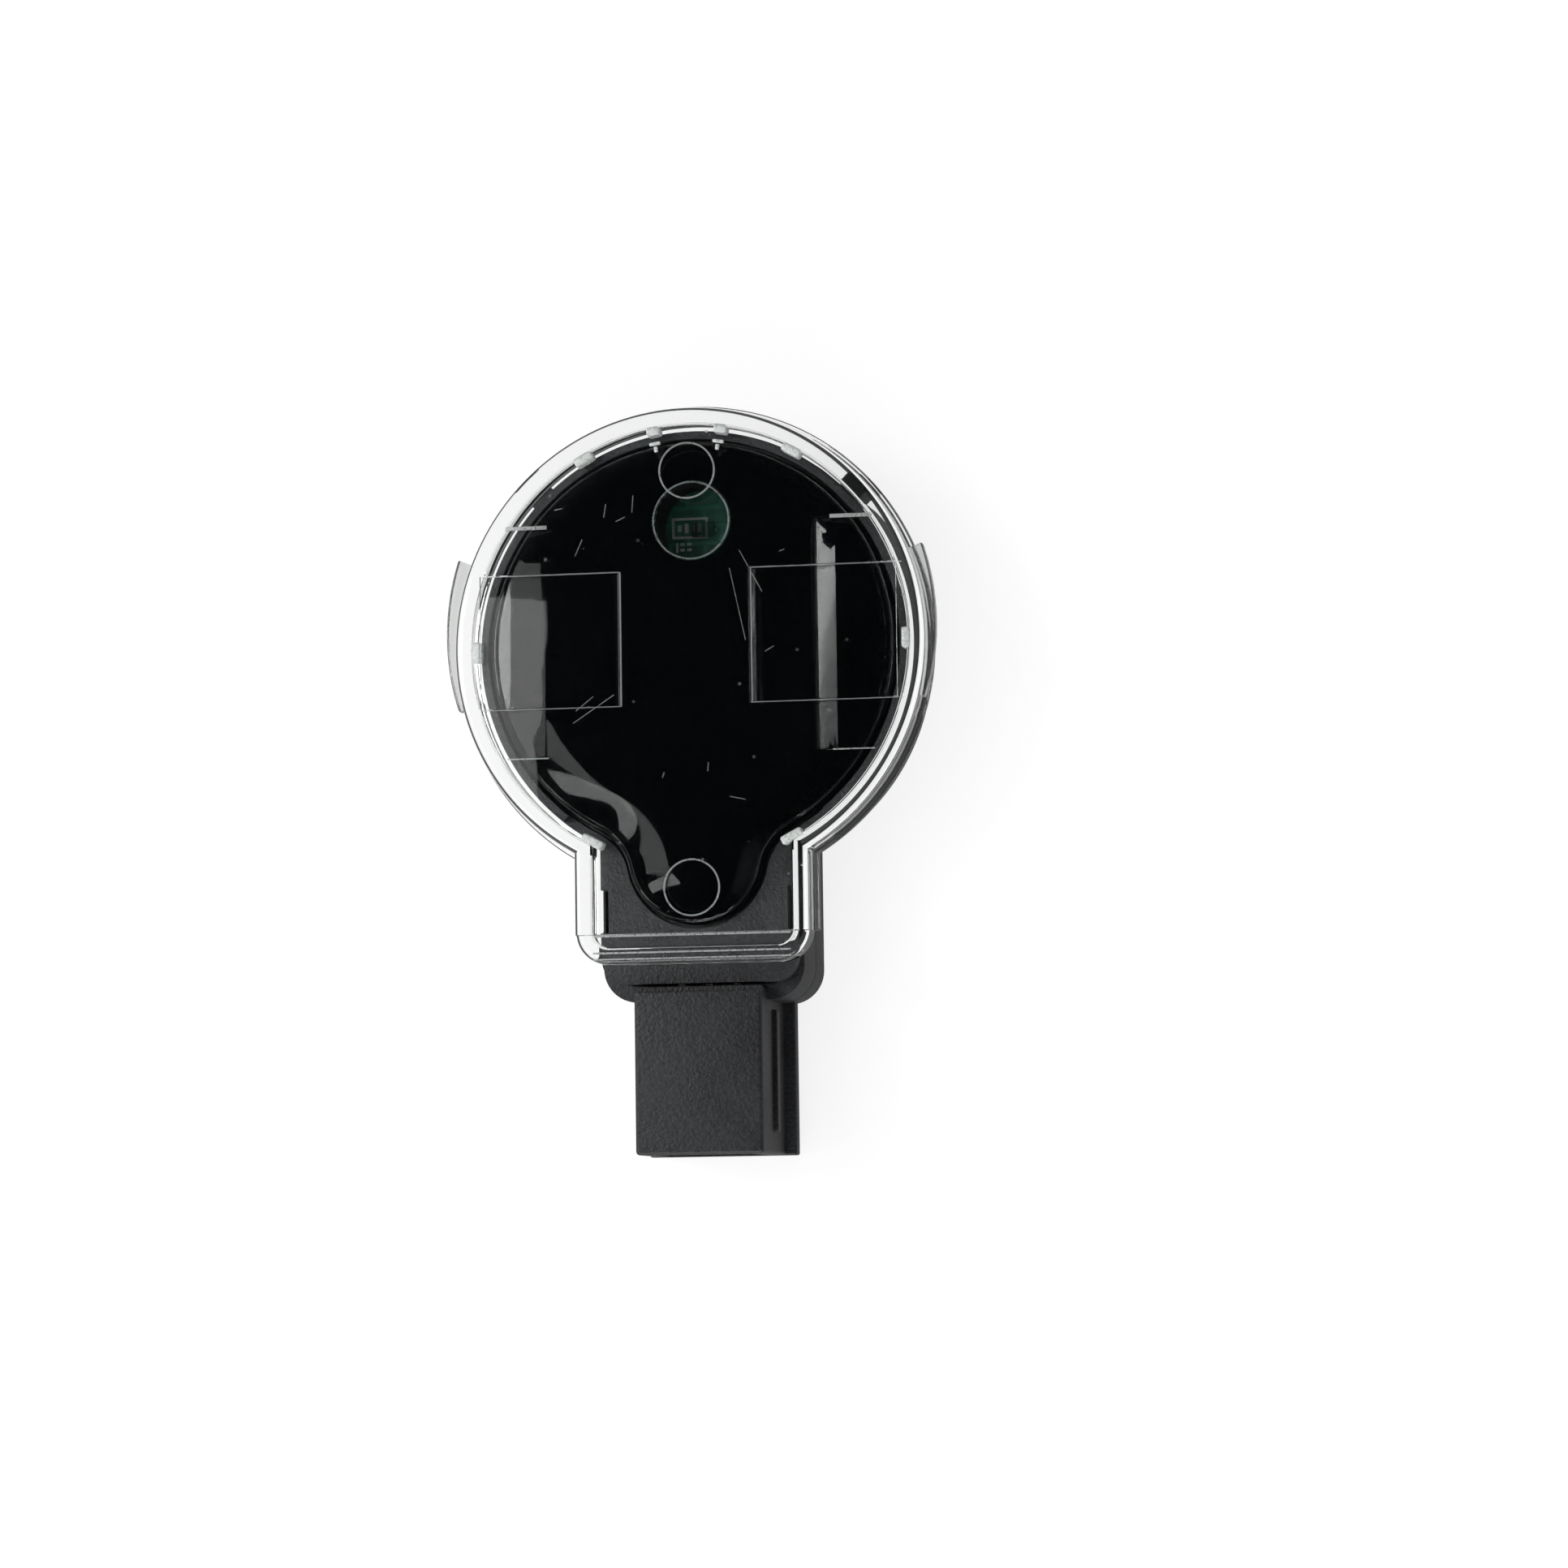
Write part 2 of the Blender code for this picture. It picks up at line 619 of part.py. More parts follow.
# --- Protective cap -----------------------------------------------------------------------
def cap_outline(grow):
    """The inside of the cap's wall, grown outwards by grow."""
    return keyhole(
        CAP_INNER_RADIUS + grow,
        CAP_INNER_HALF + grow,
        CAP_NECK_REACH + grow,
        CAP_CORNER,
    )


def finger_grip(side):
    """A crescent that stands out from the wall, with a free tip, to lift the cap by."""
    outer = arc(0, GRIP_RISE, GRIP_RADIUS, GRIP_FOOT_ANGLE, GRIP_TIP_ANGLE)
    inner = arc(0, 0, CAP_INNER_RADIUS + CAP_WALL / 2, GRIP_TIP_ANGLE, GRIP_FOOT_ANGLE)
    outline = [(side * x, y) for x, y in outer + inner]
    top = CAP_TOP - GRIP_DROP
    name = "grip_right" if side > 0 else "grip_left"
    return plate(name, outline, top - GRIP_THICKNESS, top)


def cap_nubs():
    """Small pads inside the wall that rest on the cover's border and centre the cap."""
    bottom = COVER_TOP + BORDER_HEIGHT + GAP
    top = CAP_CEILING + CAP_TOP_THICKNESS / 2
    inner = CAP_INNER_RADIUS - NUB_DEPTH
    outer = CAP_INNER_RADIUS + CAP_WALL / 2
    for angle in NUB_ANGLES:
        yield turned_box(f"nub_{angle}", angle, inner, outer, NUB_WIDTH, bottom, top)


def protective_cap(parent):
    cap = plate("protective_cap", cap_outline(CAP_WALL), CAP_BOTTOM, CAP_TOP)
    round_edges(cap, CAP_EDGE)
    lip_top = CAP_BOTTOM + CAP_LIP_THICKNESS
    join(cap, plate("lip", cap_outline(CAP_WALL + CAP_LIP_WIDTH), CAP_BOTTOM, lip_top))
    join(cap, finger_grip(-1), finger_grip(1))

    reach = CAP_NECK_REACH + CAP_WALL
    far = reach + CAP_LIP_WIDTH + OVERRUN
    wide = CAP_INNER_HALF + CAP_WALL + CAP_LIP_WIDTH + OVERRUN
    below = CAP_BOTTOM - OVERRUN
    cut(cap, plate("cap_hollow", cap_outline(0), below, CAP_CEILING))
    under_end = box(
        "under_end",
        (-CAP_INNER_HALF, -far, below),
        (CAP_INNER_HALF, CAP_CORNER - CAP_NECK_REACH, COVER_TOP + GAP),
    )
    past_end = box(
        "past_end",
        (-CAP_INNER_HALF, -far, below),
        (CAP_INNER_HALF, -reach, lip_top + OVERRUN),
    )
    step = box(
        "neck_step",
        (-wide, -far, CAP_TOP - CAP_STEP_DROP),
        (wide, CAP_STEP_LENGTH - CAP_NECK_REACH, CAP_TOP + OVERRUN),
    )
    cut(cap, under_end, past_end, step)
    join(cap, *cap_nubs())
    return finish(cap, CLEAR, 0.05, see_through=1.0, parent=parent)


# --- Assembly -----------------------------------------------------------------------------
def clear_scene():
    for obj in list(bpy.data.objects):
        bpy.data.objects.remove(obj, do_unlink=True)


def empty(name, location=(0, 0, 0)):
    handle = bpy.data.objects.new(name, None)
    handle.empty_display_size = 0.005
    handle.location = location
    model.objects.link(handle)
    return handle


def main():
    clear_scene()
    bpy.context.scene.collection.children.link(model)
    bpy.context.scene.collection.children.link(helpers)

    sensor = empty("sensor")
    rear_housing(sensor)
    front_cover(sensor)
    lens_plate(sensor)
    ambient_window(sensor)
    optical_pad(sensor)
    lens_bar("emitter_lens", -1, sensor)
    lens_bar("receiver_lens", 1, sensor)
    light_baffle(sensor)
    circuit_board(sensor)
    infrared_leds(sensor)
    light_detectors(sensor)
    integrated_circuits(sensor)
    capacitors(sensor)
    resistors(sensor)
    contact_pins(sensor)
    pin_carrier(sensor)

    lift_off = empty("cap_lift_axis")
    protective_cap(lift_off)


main()
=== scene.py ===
"""Looks of the windscreen rain and light sensor under its clear transport cap.

Metres, +Z out of the optical face, -Y towards the plug socket, as in the frame. The clear cap, the
soft pad, the housing and its cover are modelled here in full; the other pieces keep their CAD
meshes and get their finish.
"""

from math import asin, atan2, cos, degrees, hypot, pi, radians, sin, sqrt, tan

import bmesh
import bpy
from mathutils import Matrix, Vector
from mathutils.geometry import delaunay_2d_cdt


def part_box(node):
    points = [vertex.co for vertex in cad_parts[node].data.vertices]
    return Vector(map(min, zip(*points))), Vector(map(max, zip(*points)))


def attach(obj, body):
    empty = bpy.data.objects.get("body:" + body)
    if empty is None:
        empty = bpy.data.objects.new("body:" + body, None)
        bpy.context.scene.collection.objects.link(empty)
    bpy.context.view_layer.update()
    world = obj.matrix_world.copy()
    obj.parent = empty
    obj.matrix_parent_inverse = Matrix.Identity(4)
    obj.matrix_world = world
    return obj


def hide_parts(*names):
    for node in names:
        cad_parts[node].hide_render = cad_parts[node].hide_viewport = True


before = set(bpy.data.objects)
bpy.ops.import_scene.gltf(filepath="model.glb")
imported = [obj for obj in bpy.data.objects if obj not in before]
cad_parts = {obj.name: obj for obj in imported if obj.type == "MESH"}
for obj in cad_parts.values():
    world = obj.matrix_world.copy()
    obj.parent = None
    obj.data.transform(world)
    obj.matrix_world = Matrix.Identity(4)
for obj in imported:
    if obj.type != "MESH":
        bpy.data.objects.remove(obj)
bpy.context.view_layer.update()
MM = 0.001

# --- Levels and outer sizes, from the frame -------------------------------------------------
COVER_LOW, COVER_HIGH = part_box("front_cover")
HOUSING_LOW, HOUSING_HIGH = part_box("rear_housing")
CAP_LOW, CAP_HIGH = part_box("protective_cap")
BOARD_LOW, BOARD_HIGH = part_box("circuit_board")

HEAD_RADIUS = COVER_HIGH.y
COVER_END = -COVER_LOW.y
SOCKET_END = -HOUSING_LOW.y
SOCKET_TOP = HOUSING_HIGH.z
BORDER_TOP = COVER_HIGH.z
PAD_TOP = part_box("optical_pad")[1].z
PLATE_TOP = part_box("lens_plate")[1].z
CAP_BOTTOM, CAP_TOP = CAP_LOW.z, CAP_HIGH.z
BOARD_TOP = BOARD_HIGH.z

# --- Sizes shared with the CAD model --------------------------------------------------------
GAP = 0.3 * MM
OVERRUN = 0.5 * MM

NECK_HALF = 9.0 * MM
NECK_END = 31.0 * MM
NECK_CORNER = 3.0 * MM
HOUSING_HEIGHT = 9.6 * MM
HOUSING_WALL = 1.4 * MM
HOUSING_FLOOR = 1.6 * MM
HOUSING_EDGE = 0.4 * MM
POST_RADIUS, PEG_RADIUS = 1.3 * MM, 0.8 * MM
PEG_POSTS = ((-11.5 * MM, 11.0 * MM), (11.5 * MM, 11.0 * MM))
PLAIN_POSTS = (
    (-12.5 * MM, -9.8 * MM),
    (12.5 * MM, -9.8 * MM),
    (-5.6 * MM, -23.2 * MM),
    (5.6 * MM, -23.2 * MM),
)
LUG_ANGLES = (45, 135)
LUG_REACH, LUG_WIDTH = 1.4 * MM, 2.4 * MM
LUG_BOTTOM, LUG_TOP = 4.8 * MM, 9.0 * MM

COVER_BOTTOM = HOUSING_HEIGHT + GAP
COVER_TOP = COVER_BOTTOM + 1.7 * MM
COVER_NECK_HALF = 8.75 * MM
COVER_CORNER = 2.2 * MM
LEDGE_TOP = COVER_BOTTOM + 1.0 * MM
LEDGE_WIDTH = 1.3 * MM
BORDER_INSET = 0.15 * MM
BORDER_END_ANGLE = -52
DETENT_Y, DETENT_LENGTH, DETENT_DEPTH = -23.1 * MM, 3.8 * MM, 0.7 * MM

PAD_RADIUS = HEAD_RADIUS - 1.1 * MM
LOBE_RADIUS = 6.1 * MM
LOBE_DROP = 18.4 * MM
PAD_FILLET = 5.0 * MM
PAD_INSET = 0.15 * MM
WINDOW_Y, WINDOW_RADIUS = 11.2 * MM, 3.3 * MM

SOCKET_START = COVER_END + GAP
SOCKET_HALF = 5.7 * MM
SOCKET_WALL = 1.2 * MM
SOCKET_BACK = SOCKET_END - 12.1 * MM
FOOT_BOTTOM, FOOT_TOP, FOOT_WIDTH = 0.6 * MM, 2.1 * MM, 1.0 * MM
KEY_RIB_BOTTOM, KEY_RIB_HEIGHT = 6.4 * MM, 1.2 * MM
KEY_RIB_DEPTH, KEY_RIB_SETBACK = 0.4 * MM, 2.0 * MM
PIN_PITCH, PIN_HALF, PIN_Z = 2.5 * MM, 0.32 * MM, 7.0 * MM

CAP_CEILING = CAP_TOP - 1.0 * MM
CAP_WALL = 1.3 * MM
CAP_INNER_RADIUS = HEAD_RADIUS + 0.35 * MM
CAP_INNER_HALF = COVER_NECK_HALF + 0.35 * MM
CAP_REACH = 26.6 * MM
CAP_CORNER = 1.6 * MM
CAP_EDGE = 0.6 * MM
LIP_WIDTH, LIP_THICKNESS = 0.45 * MM, 0.8 * MM
STEP_Y = -(CAP_REACH - 1.3 * MM)
STEP_DROP = 0.4 * MM
GRIP_RADIUS = 21.86 * MM
GRIP_RISE = 1.4 * MM
GRIP_TOP = CAP_TOP - 0.8 * MM
GRIP_BOTTOM = GRIP_TOP - 1.2 * MM
GRIP_FOOT_ANGLE, GRIP_TIP_ANGLE = -17.8, 18.3
NUB_ANGLES = (0, 61, 81, 99, 119, 180)
NUB_WIDTH, NUB_DEPTH = 1.2 * MM, 0.8 * MM
FOOTED_NUBS = (81, 99)  # these have a small T-shaped foot inwards of the block
NUB_FEET = ((17.35 * MM, 17.85 * MM, 0.34 * MM), (17.95 * MM, 18.25 * MM, 1.0 * MM))
SIDE_NUB_SHARE, CORNER_NUB_SHARE = 1.5, 1.7  # of the footed nubs' width

# --- The pad's moulded face, which only the looks have --------------------------------------
RIDGE_X = 13.1 * MM  # where each side's round lens begins
RAMP_WIDTH, RAMP_DROP = 1.9 * MM, 0.5 * MM
RAMP_Y = (-9.6 * MM, 10.9 * MM)
LENS_RADIUS = 17.4 * MM  # the side lens's round edge
LENS_DROP = 0.6 * MM
LENS_Y = (-9.5 * MM, 8.4 * MM)
RISER = 0.05 * MM  # the width of a steep step
SHOULDER_WIDTH, SHOULDER_DROP = 3.5 * MM, 0.62 * MM
PAD_EDGE = 0.45 * MM

# --- Marks on the cap's face ----------------------------------------------------------------
POCKET_X = {-1: 6.1 * MM, 1: 5.5 * MM}  # where each side's shallow pocket begins
POCKET_FAR = 18.6 * MM
POCKET_Y = (-5.25 * MM, 6.6 * MM)
POCKET_DROP = 0.1 * MM
POCKET_SLOPE = 0.30 * MM
LINE_WIDTH = 0.065 * MM
MARK_RADIUS, MARK_WIDTH = 2.45 * MM, 0.15 * MM
MARKS = ((0, 15.4 * MM), (0, -21.3 * MM))  # rings left by the ejector pins
RIB_Y, RIB_WIDTH = 10.85 * MM, 0.32 * MM
RIB_X = (12.7 * MM, 16.4 * MM)
# pale bars across the end of the neck: painted highlights where the neck's edges catch the light
NECK_HIGHLIGHT_DEPTH, NECK_HIGHLIGHT_EDGE = 0.04 * MM, 0.012 * MM
PAINTED_NECK_HIGHLIGHTS = ((STEP_Y - 0.12 * MM, 0.18 * MM), (-26.9 * MM, 0.16 * MM), (-27.45 * MM, 0.14 * MM))
SCRATCHES = (  # middle x and y in mm, turn in degrees, length in mm
    (-8.6, -5.4, 33, 4.4),
    (-9.4, -4.9, 38, 2.0),
    (5.6, 6.3, -62, 4.2),
    (4.4, 3.4, -78, 6.5),
    (7.2, -0.6, 30, 0.9),
    (1.6, -10.8, 84, 0.8),
    (-2.4, -11.4, 70, 0.5),
    (4.2, -13.6, -12, 1.4),
    (-9.8, 8.9, 65, 1.6),
    (-7.4, 12.1, 80, 1.2),
    (-6.0, 11.3, 25, 0.9),
    (-4.9, 12.6, 85, 1.5),
    (-11.6, 12.4, 10, 0.7),
    (8.4, 8.0, 20, 0.5),
)

# --- Camera and lamps -----------------------------------------------------------------------
CAMERA_LEAN = Vector((0.19, -0.093, 1.0))
CAMERA_AIM = Vector((7.85 * MM, -12.29 * MM, 12.0 * MM))
CAMERA_DISTANCE = 0.45
CAMERA_ROLL = radians(0.8)
FRAME_WIDTH = 0.1372
SENSOR_WIDTH = 36.0  # mm, Blender's own
LAMP_DISTANCE = 0.6
AMBIENT = 0.72


# --- Outlines -------------------------------------------------------------------------------
def arc(cx, cy, radius, start, end, steps):
    """Points on an arc from start to end, in degrees, with both ends."""
    angles = [radians(start + (end - start) * i / steps) for i in range(steps + 1)]
    return [(cx + radius * cos(a), cy + radius * sin(a)) for a in angles]


def keyhole(radius, half_width, end, corner):
    """A round head with a straight neck that ends at y = -end."""
    join = degrees(asin(half_width / radius))
    head = arc(0, 0, radius, join - 90, 270 - join, 150)
    left = arc(corner - half_width, corner - end, corner, 180, 270, 12)
    right = arc(half_width - corner, corner - end, corner, 270, 360, 12)
    return head + left + right


def pad_outline(grow=0.0):
    """The optical pad: a round head joined by hollow fillets to a lobe, grown all round by grow."""
    to_head = PAD_RADIUS + PAD_FILLET
    to_lobe = LOBE_RADIUS + PAD_FILLET
    y = (to_lobe**2 - to_head**2 - LOBE_DROP**2) / (2 * LOBE_DROP)
    x = sqrt(to_head**2 - y**2)
    head_angle = degrees(atan2(y, x))
    lobe_angle = degrees(atan2(y + LOBE_DROP, x))
    head = arc(0, 0, PAD_RADIUS + grow, head_angle, 180 - head_angle, 130)
    left = arc(-x, y, PAD_FILLET - grow, -head_angle, -lobe_angle, 16)
    lobe = arc(0, -LOBE_DROP, LOBE_RADIUS + grow, 180 - lobe_angle, 360 + lobe_angle, 44)
    right = arc(x, y, PAD_FILLET - grow, 180 + lobe_angle, 180 + head_angle, 16)
    return head + left[1:-1] + lobe + right[1:-1]


def circle(cx, cy, radius, steps=40):
    return arc(cx, cy, radius, 0, 360, steps)[:-1]


def rectangle(low_x, low_y, high_x, high_y):
    return [(low_x, low_y), (high_x, low_y), (high_x, high_y), (low_x, high_y)]


def share(value, start, end):
    """0 at start, 1 at end, and held outside them."""
    return min(1.0, max(0.0, (value - start) / (end - start)))


# --- Meshes ---------------------------------------------------------------------------------
def new_object(name, mesh):
    obj = bpy.data.objects.new(name, mesh)
    bpy.context.scene.collection.objects.link(obj)
    return obj


def from_faces(name, points, faces):
    """A closed mesh from points and faces, welded where points meet."""
    mesh = bpy.data.meshes.new(name)
    mesh.from_pydata([tuple(p) for p in points], [], faces)
    weld = bmesh.new()
    weld.from_mesh(mesh)
    bmesh.ops.remove_doubles(weld, verts=weld.verts, dist=1e-7)
    bmesh.ops.recalc_face_normals(weld, faces=weld.faces)
    weld.to_mesh(mesh)
    weld.free()
    return new_object(name, mesh)


def skin(rings, close_start=True, close_end=True):
    """Points and faces that join rings of equal length one after another."""
    points = [p for ring in rings for p in ring]
    count = len(rings[0])
    faces = []
    for r in range(len(rings) - 1):
        for i in range(count):
            j = (i + 1) % count
            near, far = r * count, (r + 1) * count
            faces.append((near + i, near + j, far + j, far + i))
    if close_start:
        faces.append(tuple(range(count)))
    if close_end:
        faces.append(tuple(range(len(points) - count, len(points)))[::-1])
    return points, faces


def at_height(outline, z):
    return [(x, y, z) for x, y in outline]


def plate(name, outline, bottom, top, holes=()):
    """A flat outline, with any holes, made solid from bottom to top."""
    curve = bpy.data.curves.new(name, "CURVE")
    curve.dimensions = "2D"
    curve.fill_mode = "BOTH"
    curve.extrude = (top - bottom) / 2
    for points in (outline, *holes):
        spline = curve.splines.new("POLY")
        spline.points.add(len(points) - 1)
        for point, (x, y) in zip(spline.points, points):
            point.co = (x, y, 0, 1)
        spline.use_cyclic_u = True
    guide = new_object(name + "_outline", curve)
    graph = bpy.context.evaluated_depsgraph_get()
    mesh = bpy.data.meshes.new_from_object(guide.evaluated_get(graph))
    bpy.data.objects.remove(guide)
    mesh.transform(Matrix.Translation((0, 0, (bottom + top) / 2)))
    weld = bmesh.new()
    weld.from_mesh(mesh)
    bmesh.ops.remove_doubles(weld, verts=weld.verts, dist=1e-7)
    bmesh.ops.recalc_face_normals(weld, faces=weld.faces)
    weld.to_mesh(mesh)
    weld.free()
    return new_object(name, mesh)


def box(name, low, high):
    mesh = bpy.data.meshes.new(name)
    cube = bmesh.new()
    bmesh.ops.create_cube(cube, size=1)
    bmesh.ops.scale(cube, vec=[b - a for a, b in zip(low, high)], verts=cube.verts)
    bmesh.ops.translate(cube, vec=[(a + b) / 2 for a, b in zip(low, high)], verts=cube.verts)
    cube.to_mesh(mesh)
    cube.free()
    return new_object(name, mesh)


def turned_box(name, angle, inner, outer, width, bottom, top):
    """A block that points outwards from the head's axis at an angle in degrees."""
    block = box(name, (inner, -width / 2, bottom), (outer, width / 2, top))
    block.data.transform(Matrix.Rotation(radians(angle), 4, "Z"))
    return block


def settle(obj):
    """Makes what an object's modifiers give its own mesh."""
    graph = bpy.context.evaluated_depsgraph_get()
    mesh = bpy.data.meshes.new_from_object(obj.evaluated_get(graph))
    obj.modifiers.clear()
    obj.data = mesh
    return obj


def rounded(obj, width, segments=3, angle=50):
    bevel = obj.modifiers.new("round", "BEVEL")
    bevel.width = width
    bevel.segments = segments
    bevel.limit_method = "ANGLE"
    bevel.angle_limit = radians(angle)
    return settle(obj)


def merged(name, objects):
    """Several separate solids as one object."""
    mesh = bmesh.new()
    for obj in objects:
        mesh.from_mesh(obj.data)
        bpy.data.objects.remove(obj)
    data = bpy.data.meshes.new(name)
    mesh.to_mesh(data)
    mesh.free()
    return new_object(name, data)


def combine(obj, operation, others):
    for other in others:
        boolean = obj.modifiers.new("combine", "BOOLEAN")
        boolean.operation = operation
        boolean.solver = "EXACT"
        boolean.object = other
        settle(obj)
        bpy.data.objects.remove(other)
    return obj


def cut(obj, *cutters):
    return combine(obj, "DIFFERENCE", cutters)


def join(obj, *additions):
    return combine(obj, "UNION", additions)


def dress(obj, material, body, sharp=30):
    """Gives a finished piece its material, shading, body and material slot."""
    obj.data.materials.clear()
    obj.data.materials.append(material)
    obj.data.shade_smooth()
    obj.data.set_sharp_from_angle(angle=radians(sharp))
    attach(obj, body)
    return obj


# --- Materials ------------------------------------------------------------------------------
class Nodes:
    """A short way to write a node tree."""

    def __init__(self, tree):
        self.tree = tree
        tree.nodes.clear()

    def add(self, kind, inputs=(), **settings):
        node = self.tree.nodes.new(kind)
        for key, value in settings.items():
            setattr(node, key, value)
        for key, value in dict(inputs).items():
            self.put(node.inputs[key], value)
        return node

    def put(self, socket, value):
        if isinstance(value, bpy.types.NodeSocket):
            self.tree.links.new(value, socket)
        else:
            socket.default_value = value

    def noise(self, place, scale, detail=3.0, roughness=0.55):
        node = self.add(
            "ShaderNodeTexNoise",
            {"Vector": place, "Scale": scale, "Detail": detail, "Roughness": roughness},
        )
        return node.outputs["Fac"]

    def span(self, value, low, high, start=0.3, end=0.7):
        """Maps value from start..end to low..high."""
        node = self.add(
            "ShaderNodeMapRange",
            {"Value": value, "From Min": start, "From Max": end, "To Min": low, "To Max": high},
        )
        return node.outputs["Result"]

    def math(self, operation, a, b=0.0):
        return self.add("ShaderNodeMath", {0: a, 1: b}, operation=operation).outputs[0]

    def tint(self, share_of_b, a, b):
        node = self.add("ShaderNodeMix", data_type="RGBA")
        self.put(node.inputs["Factor"], share_of_b)
        self.put(node.inputs["A"], (*a, 1) if isinstance(a, tuple) else a)
        self.put(node.inputs["B"], (*b, 1) if isinstance(b, tuple) else b)
        return node.outputs["Result"]

    def bump(self, height, distance, normal=None):
        inputs = {"Height": height, "Distance": distance, "Strength": 1.0}
        if normal is not None:
            inputs["Normal"] = normal
        return self.add("ShaderNodeBump", inputs).outputs["Normal"]


def start_material(name):
    material = bpy.data.materials.new(name)
    material.use_nodes = True
    nodes = Nodes(material.node_tree)
    place = nodes.add("ShaderNodeTexCoord").outputs["Object"]
    return material, nodes, place


def end_material(nodes, shader):
    nodes.add("ShaderNodeOutputMaterial", {"Surface": shader})


def shaded(colour, factor):
    return tuple(min(1.0, c * factor) for c in colour)


def moulded(
    name, colour, roughness, grain=5000, depth=0.02 * MM, metallic=0.0, spread=0.12, shine=0.5
):
    """An opaque surface with a fine moulded grain and slow changes of tone and gloss."""
    material, nodes, place = start_material(name)
    fine = nodes.noise(place, grain, 2.0, 0.6)
    slow = nodes.noise(place, 180, 3.0)
    tone = nodes.math("ADD", nodes.math("MULTIPLY", fine, 0.6), nodes.math("MULTIPLY", slow, 0.4))
    base = nodes.tint(
        nodes.span(tone, 0, 1), shaded(colour, 1 - spread * 2), shaded(colour, 1 + spread * 2)
    )
    gloss = nodes.span(slow, roughness - 0.05, roughness + 0.07)
    shader = nodes.add(
        "ShaderNodeBsdfPrincipled",
        {
            "Base Color": base,
            "Roughness": gloss,
            "Metallic": metallic,
            "Specular IOR Level": shine,
            "Normal": nodes.bump(fine, depth),
        },
    )
    end_material(nodes, shader.outputs[0])
    return material


def clear(name, colour, roughness, ior, ripple, specks=0.0):
    """Clear plastic with faint flow ripples; lamps reach what lies behind it."""
    material, nodes, place = start_material(name)
    flow = nodes.noise(place, 260, 2.0, 0.4)
    fine = nodes.noise(place, 2600, 2.0)
    gloss = nodes.span(fine, roughness * 0.5, roughness * 1.6)
    height = flow
    if specks:
        dots = nodes.add("ShaderNodeTexVoronoi", {"Vector": place, "Scale": specks})
        spot = nodes.span(dots.outputs["Distance"], 1, 0, 0.035, 0.055)
        gloss = nodes.math("MAXIMUM", gloss, nodes.math("MULTIPLY", spot, 0.5))
        height = nodes.math("ADD", flow, nodes.math("MULTIPLY", spot, 0.5))
    shader = nodes.add(
        "ShaderNodeBsdfPrincipled",
        {
            "Base Color": (*colour, 1),
            "Roughness": gloss,
            "IOR": ior,
            "Transmission Weight": 1.0,
            "Normal": nodes.bump(height, ripple),
        },
    )
    open_shader = nodes.add("ShaderNodeBsdfTransparent", {"Color": (*shaded(colour, 0.95), 1)})
    path = nodes.add("ShaderNodeLightPath")
    mixed = nodes.add(
        "ShaderNodeMixShader",
        {0: path.outputs["Is Shadow Ray"], 1: shader.outputs[0], 2: open_shader.outputs[0]},
    )
    end_material(nodes, mixed.outputs[0])
    return material


def frosted(name, colour, roughness, see_through):
    """Clear plastic with a ground surface that scatters part of the light."""
    material, nodes, place = start_material(name)
    fine = nodes.noise(place, 3200, 3.0)
    shader = nodes.add(
        "ShaderNodeBsdfPrincipled",
        {
            "Base Color": nodes.tint(nodes.span(fine, 0, 1), shaded(colour, 0.85), colour),
            "Roughness": nodes.span(fine, roughness - 0.08, roughness + 0.10),
            "IOR": 1.49,
            "Transmission Weight": see_through,
            "Normal": nodes.bump(fine, 0.02 * MM),
        },
    )
    end_material(nodes, shader.outputs[0])
    return material


def board_finish():
    """Green solder mask over faint copper tracks."""
    material, nodes, place = start_material("solder_mask")
    cells = nodes.add(
        "ShaderNodeTexBrick",
        {
            "Vector": place,
            "Scale": 420.0,
            "Mortar Size": 0.09,
            "Mortar Smooth": 0.3,
            "Brick Width": 1.3,
            "Row Height": 0.7,
        },
    )
    weave = nodes.noise(place, 3000, 2.0)
    track = nodes.span(cells.outputs["Fac"], 0.0, 1.0, 0.0, 1.0)
    mask = nodes.tint(track, (0.016, 0.19, 0.12), (0.026, 0.28, 0.18))
    base = nodes.tint(nodes.span(weave, 0.0, 0.35), mask, (0.010, 0.10, 0.075))
    height = nodes.math("ADD", track, nodes.math("MULTIPLY", weave, 0.25))
    shader = nodes.add(
        "ShaderNodeBsdfPrincipled",
        {
            "Base Color": base,
            "Roughness": nodes.span(weave, 0.28, 0.42),
            "Normal": nodes.bump(height, 0.02 * MM),
        },
    )
    end_material(nodes, shader.outputs[0])
    return material


def floor_finish():
    """A pale floor that cameras, glass and glossy surfaces see as white where nothing shades it."""
    material, nodes, place = start_material("floor")
    base = nodes.tint(nodes.noise(place, 8, 2.0), (0.26, 0.26, 0.26), (0.28, 0.28, 0.28))
    diffuse = nodes.add("ShaderNodeBsdfDiffuse", {"Color": base})
    path = nodes.add("ShaderNodeLightPath")
    mirrored = nodes.math("MULTIPLY", path.outputs["Is Glossy Ray"], 0.3)
    seen = nodes.math("MAXIMUM", path.outputs["Is Camera Ray"], mirrored)
    seen = nodes.math("MAXIMUM", seen, path.outputs["Is Transmission Ray"])
    glow = nodes.add("ShaderNodeEmission", {"Strength": nodes.math("MULTIPLY", seen, 0.80)})
    both = nodes.add("ShaderNodeAddShader", {0: diffuse.outputs[0], 1: glow.outputs[0]})
    end_material(nodes, both.outputs[0])
    return material


